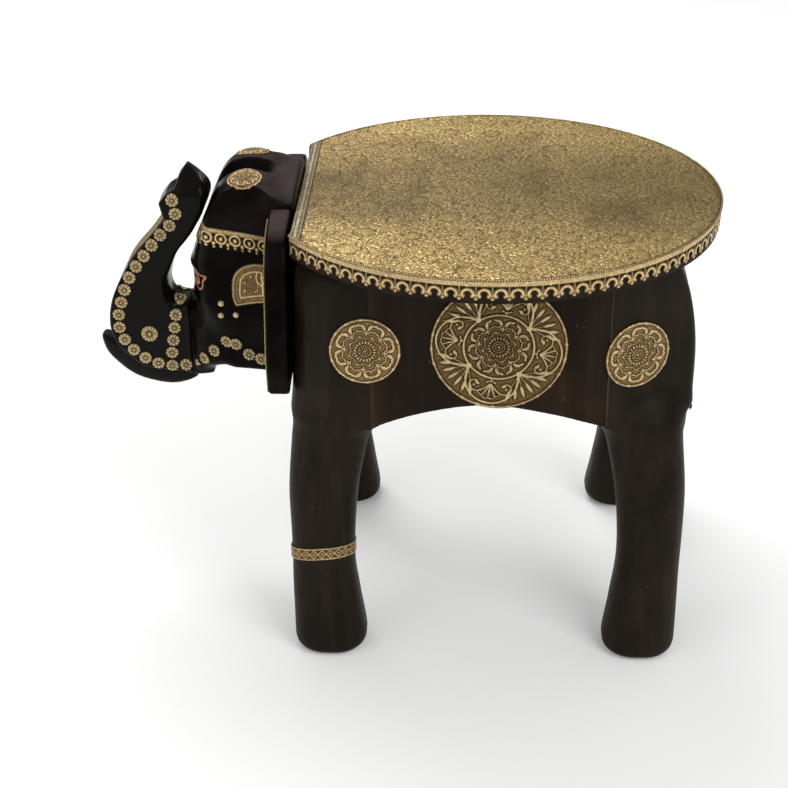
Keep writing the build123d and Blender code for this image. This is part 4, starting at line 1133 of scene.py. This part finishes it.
for side, hand in hands:
    outward = np.array([0, side, 0])
    cheek_grid = np.stack([u, np.full_like(u, side * cheek), v], axis=-1)
    openwork(f"paisley_{hand}", lambda lift: cheek_grid + outward * lift[..., None], cast, (0.4, 1.0, 0.05), trim_brass,
             [f"cheek_paisley_{hand}"], flip=side > 0)
    forward = np.array([-1.0, 0, 0])
    flat = np.stack([np.full(edging.shape, ear_front + 1.0), side * spots[..., 0], spots[..., 1]], axis=-1)
    flat = settled(ear_form, flat.reshape(-1, 3), forward, -5.0, 5.0).reshape(flat.shape)
    openwork(f"ear_edging_{hand}", lambda lift: flat + forward * lift[..., None], edging, (0.2, 1.1, 0.05), trim_brass,
             [f"ear_trim_{hand}"], flip=side < 0)

# ---------------------------------------------------------------- trunk strip
# A strip of brass, embossed with a lattice between two rope lines, is bent down the front of the trunk below
# its tip and tacked at its ends.
strip_half = span("trunk_strip")[1][1]
along = lengths_along(bend)
top, low = np.interp([-375, -331], -bend[:, 1], along)
s = np.arange(top, low, 0.5)[:, None]
y = np.linspace(-strip_half, strip_half, 40)[None]
path = [np.interp(s, along, bend[:, k]) for k in (0, 1)]
flat = np.stack(np.broadcast_arrays(path[0], y, path[1]), axis=-1)
facing = np.array([-0.76, 0, 0.65])
flat = settled(trunk_form, flat.reshape(-1, 3), facing, -6.0, 6.0).reshape(flat.shape)
lattice_pitch = 6.5
lattice = np.abs(np.sin((s + y) * math.pi / lattice_pitch)) * np.abs(np.sin((s - y) * math.pi / lattice_pitch))
cast = highest([
    0.2 + 0.8 * np.clip(1.2 - lattice * 2.2, 0, 1) * 0.8,
    np.clip(lattice * 1.6 - 0.9, 0, 1),
    ridge(np.abs(y) - strip_half + 1.1, 0.9, 1.3) * (0.7 + 0.3 * np.cos(s * 3))])
openwork("trunk_front_strip", lambda lift: flat + facing * lift[..., None], cast, (0.2, 1.0, 0.05), trim_brass,
         ["trunk_strip"], 0.1)

# ---------------------------------------------------------------- rosettes, daisies and cheek studs
# Pressed studs follow the trunk's outline, run down its root and along the jaw.  A wider daisy stands in
# the curl, and three plain dome-headed studs mark each cheek.

def parts_of(node):
    """The middle and thin axis of each separate solid in a CAD node."""
    spots = points_of(node)
    _, same = np.unique(np.round(spots, 3), axis=0, return_inverse=True)
    label = np.arange(same.max() + 1)
    pairs = same.ravel()[np.array([e.vertices[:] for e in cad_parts[node].data.edges])]
    while True:
        lower = np.minimum(label[pairs[:, 0]], label[pairs[:, 1]])
        before = label.copy()
        np.minimum.at(label, pairs[:, 0], lower)
        np.minimum.at(label, pairs[:, 1], lower)
        label = label[label]
        if (label == before).all():
            break
    group = label[same.ravel()]
    return [thin_axis(spots[group == g]) for g in np.unique(group)]


def stud_places(node, form, tall=False):
    """Where each stud sits on the carved wood and the way it faces."""
    places = []
    for middle, facing in parts_of(node):
        outward = np.array([0, math.copysign(1.0, middle[1]), 0])
        if tall:
            facing = outward
        if form(*(middle + 3 * facing)) < form(*(middle - 3 * facing)):
            facing = -facing
        places.append((settled(form, middle[None], facing)[0], facing, chance.uniform(0, 1)))
    return places


jaw_line = [(-279, 27, 235), (-269.5, 41, 245.5), (-259, 51, 256.5), (-248.5, 62, 267), (-236, 62, 266.5),
            (-223.5, 62, 258), (-211.5, 62, 254.5)]


def facing_out(form, spot):
    """A stud near a spot: its place on the carved wood and the way the wood faces there."""
    spot = np.array(spot, float)
    for _ in range(6):
        slope = np.array([form(*(spot + k)) - form(*(spot - k)) for k in np.eye(3) * 1.5])
        slope /= np.linalg.norm(slope)
        spot = spot - slope * form(*spot)
    return spot, slope, chance.uniform(0, 1)


def rosette(petals, size):
    """Round-ended petals about a dark ring with a bead in it."""
    def relief(u, v):
        far, way = np.hypot(u, v) / size, np.arctan2(v, u)
        fold = np.abs(np.sin(way * petals / 2)) ** 0.7
        petal = np.clip((far - 0.42) * 9, 0, 1) * (0.15 + 0.85 * fold) * np.clip((1.04 - far) * 9, 0, 1)
        bead = np.sqrt(np.clip(1 - (far / 0.24) ** 2, 0, 1))
        ring = ridge(far - 0.38, 0.07, 1.3) * 0.5
        return highest([petal, bead, ring])
    return relief


rosette_brass = brass("pressed_rosette_brass", (0.035, 0.02, 0.008), (0.32, 0.23, 0.105), (0.76, 0.61, 0.34), 0.3,
                      0.15, 600.0, 0.1)
# each kind's radius, petals, notches between petals, rings and spokes of points, and the bulge of its middle
rosette_kind, daisy_kind = (6.15, 9, 0.06, 14, 54, 0.9), (8.3, 14, 0.08, 20, 112, 0.8)
for side, hand in hands:
    trunk_places = stud_places(f"trunk_rosettes_{hand}", trunk_form)
    jaw_places = [facing_out(head_form, (x, side * y, z)) for x, y, z in jaw_line]
    daisy_places = stud_places(f"trunk_daisy_{hand}", trunk_form)
    for name, node, places, form, (radius, petals, notch, rings, spokes, bulge) in (
            ("trunk_chain", "trunk_rosettes", trunk_places, trunk_form, rosette_kind),
            ("jaw_chain", "cheek_rosettes", jaw_places, head_form, rosette_kind),
            ("daisy", "trunk_daisy", daisy_places, trunk_form, daisy_kind)):
        pressed(f"{name}_{hand}", places, radius, rosette(petals, radius), 1.3, 0.5, rings, spokes, rosette_brass,
                [f"{node}_{hand}"], form,
                lambda way: 1 - notch + notch * np.abs(np.sin(way * petals / 2)), bulge)
    pressed(f"dome_studs_{hand}", stud_places(f"cheek_studs_{hand}", head_form, True), 3.1, dot(10.2 ** 0.5), 1.9, 0.1,
            8, 30, stud_brass, [f"cheek_studs_{hand}"])

# ---------------------------------------------------------------- painted eyes
# Each eye is two brush strokes of copper-red paint on the black wood: the outline of the lids, and a curl for
# the pupil.  The paint stands a little proud and thins out at the ends of each stroke.
paint = flecked("copper_red_paint", 500.0, (0.35, 0.65), (0.34, 0.11, 0.055), (0.66, 0.29, 0.16), 0.0, (0.45, 0.2),
                (0.0004, 0.4))
eye_lines = [(1.0, [(-274.5, 343), (-270, 338.8), (-264, 337.6), (-257.5, 338.2), (-260.8, 333), (-261.5, 327),
                    (-265, 322.5), (-270, 325), (-274, 331), (-274.8, 336)]),
             (2.1, [(-273.5, 338), (-270, 336.2), (-266.5, 333.4), (-265, 329), (-267.2, 326.8), (-270.4, 329.6)])]
brush_way = np.linspace(0, 2 * math.pi, 8, endpoint=False)[None, :, None]
for side, hand in hands:
    strokes, faces, first = [], [], 0
    for brush, line in eye_lines:
        path = curve(line, 8)
        spots = np.stack([path[:, 0], np.zeros(len(path)), path[:, 1]], axis=1)
        spots = settled(head_form, spots, np.array([0, side, 0.0]), 0.0, 80.0)
        run = np.gradient(spots, axis=0)
        run /= np.linalg.norm(run, axis=1)[:, None]
        up = np.array([-0.62, side * 0.78, 0])
        size = brush * np.sin(np.linspace(0.3, math.pi - 0.3, len(spots)))[:, None, None] ** 0.4
        ring = np.cross(run, up)[:, None] * np.cos(brush_way) + 0.3 * up * np.sin(brush_way)
        strokes.append((spots[:, None] + size * ring).reshape(-1, 3))
        index = np.arange(8 * len(spots)).reshape(-1, 8) + first
        first += index.size
        faces += [cells(np.hstack([index, index[:, :1]])).reshape(-1, 4), index[:1], index[-1:, ::-1]]
    piece(f"painted_eye_{hand}", np.vstack(strokes), faces, paint)

# ---------------------------------------------------------------- anklets
# A narrow embossed band is bent round each front leg and tacked behind.  It sits a little askew, higher on
# the outer side.
ankle_low, ankle_high = span("anklet_left")
ankle_x, ankle_y, ankle_height = (ankle_low + ankle_high) / 2 * [1, -1, 1]
around = np.linspace(0, 2 * math.pi, 337)[:, None]
rows = np.linspace(-6, 6, 26)[None]
shin_radius, lozenge_half = 28.5, 3.7
out_slope, back_slope = 0.306, 0.087                # how the band climbs, outward and toward the tail
girth = around * shin_radius
lozenge = np.abs((girth + 100) % (2 * lozenge_half) - lozenge_half) / lozenge_half + np.abs(rows) / 4.2
cast = highest([
    ridge(np.abs(rows) - 5.2, 0.8, 1.5) * (0.75 + 0.25 * np.cos(girth * 3.2)),
    ridge(lozenge - 0.95, 0.22, 1.3) * 0.8,
    ridge(lozenge, 0.42, 1.2),
    0.15 + 0 * girth])


def askew(x, y, z):
    """The band's own slant: higher on the outer side of the leg."""
    return x, y, z + out_slope * (np.abs(y) - ankle_y) + back_slope * (x - ankle_x)


for side, hand in hands:
    way = np.stack(np.broadcast_arrays(np.cos(around), side * np.sin(around), 0 * rows), axis=-1)
    level = np.stack(np.broadcast_arrays(ankle_x, side * ankle_y, ankle_height + rows + 0 * around), axis=-1)
    flat = settled(lambda x, y, z: leg("front", *askew(x, y, z)), level.reshape(-1, 3), way.reshape(-1, 3), 5.0, 60.0)
    flat = flat.reshape(way.shape)
    openwork(f"ankle_band_{hand}",
             lambda lift: np.stack(askew(*np.moveaxis(flat + lift[..., None] * way, -1, 0)), axis=-1),
             cast, (0.35, 0.9, 0.1), trim_brass, [f"anklet_{hand}"], 0.01, side > 0)

# ---------------------------------------------------------------- dowels and screws inside
# Turned dowels join the legs, head, ears and trunk to their neighbours, and zinc-plated countersunk screws
# hold the seat board down.  None shows when the stool is together.
dowel = flecked("turned_dowel_wood", 180.0, (0.35, 0.7), (0.48, 0.32, 0.18), (0.30, 0.18, 0.09), 0.0, (0.55, 0.15),
                (0.0004, 0.4), 4.0, 0.2)
zinc = flecked("zinc_plated_steel", 300.0, (0.3, 0.7), (0.42, 0.43, 0.45), (0.60, 0.60, 0.58), 0.9, (0.3, 0.25),
               (0.0003, 0.3))
for node, finish in (("leg_dowels", dowel), ("head_dowels", dowel), ("ear_dowels", dowel), ("trunk_dowels", dowel),
                     ("seat_screws", zinc)):
    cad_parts[node].data.materials[0] = finish

# ---------------------------------------------------------------- floor, light and camera
# The stool stands on a plain pale floor that fades to white far off, under a large window light, a softer key
# lamp and a weak fill.
reach, floor_light = 20.0, 0.14
corners = [(-reach, -reach, 0), (reach, -reach, 0), (reach, reach, 0), (-reach, reach, 0)]
floor_mesh = bpy.data.meshes.new("floor")
floor_mesh.from_pydata(corners, [], [(0, 1, 2, 3)])
floor = bpy.data.objects.new("floor", floor_mesh)
bpy.context.scene.collection.objects.link(floor)
paper, paper_shader, paper_place = start("pale_floor")
seen = paper_place.node("ShaderNodeLightPath", {}, {}, "Is Camera Ray")
far = paper_place.node("ShaderNodeVectorMath", {"operation": "LENGTH"}, {0: paper_place}, 1).step(1.2, 5.0)
feed(paper_shader, Base_Color=paper_place.noise(0.8, 2.0).tint((0.88, 0.88, 0.875), (0.91, 0.91, 0.905)),
     Emission_Color=(seen * (far * 0.4 + floor_light)).tint((0, 0, 0), (1.0, 1.0, 1.0)), Roughness=0.95,
     Emission_Strength=1.0)
floor_mesh.materials.append(paper)

world = bpy.data.worlds.new("studio")
bpy.context.scene.world = world
world.use_nodes = True
backdrop = world.node_tree.nodes["Background"]
rays = Shade(world.node_tree.nodes.new("ShaderNodeLightPath").outputs["Is Camera Ray"])
gloss_rays = Shade(rays.socket.node.outputs["Is Glossy Ray"])
through_rays = Shade(rays.socket.node.outputs["Is Transmission Ray"])
seen = rays.math("MAXIMUM", rays, through_rays)
level = (1 - seen) * (0.55 - gloss_rays * 0.3) + seen
world.node_tree.links.new(level.socket, backdrop.inputs["Strength"])
backdrop.inputs["Color"].default_value = (1, 1, 1, 1)


def lamp(name, place, aim, size, power):
    """A soft square lamp that looks at a point."""
    light = bpy.data.lights.new(name, "AREA")
    light.energy, light.size = power, size
    made = bpy.data.objects.new(name, light)
    made.location = place
    x, y, z = np.array(aim) - place
    made.rotation_euler = (math.atan2(math.hypot(x, y), -z), 0, math.atan2(y, x) - math.pi / 2)
    bpy.context.scene.collection.objects.link(made)


lamp("window", (-0.6, 1.4, 2.2), (0.05, 0, 0.3), 1.6, 34)
lamp("key", (1.4, -1.6, 2.0), (0.05, 0, 0.3), 1.4, 27)
lamp("fill", (-1.7, -1.5, 1.4), (0.05, 0, 0.25), 1.6, 7)

pitch, yaw, roll = (math.radians(a) for a in (27.373, -2.434, 0.452))
ahead = np.array([math.sin(yaw) * math.cos(pitch), math.cos(yaw) * math.cos(pitch), -math.sin(pitch)])
level_right = np.array([math.cos(yaw), -math.sin(yaw), 0])
level_down = np.cross(ahead, level_right)
right = math.cos(roll) * level_right + math.sin(roll) * level_down
down = -math.sin(roll) * level_right + math.cos(roll) * level_down
lens = bpy.data.cameras.new("camera")
lens.lens, lens.sensor_width, lens.sensor_fit = 80.88, 36, "HORIZONTAL"
camera = bpy.data.objects.new("camera", lens)
turn = np.eye(4)
turn[:3, 0], turn[:3, 1], turn[:3, 2] = right, -down, -ahead
turn[:3, 3] = (seat_x - 24.5 * mm, -1529.4 * mm, 982.7 * mm)
camera.matrix_world = Matrix(turn.tolist())
bpy.context.scene.collection.objects.link(camera)
bpy.context.scene.camera = camera
bpy.context.scene.view_settings.view_transform = "Standard"
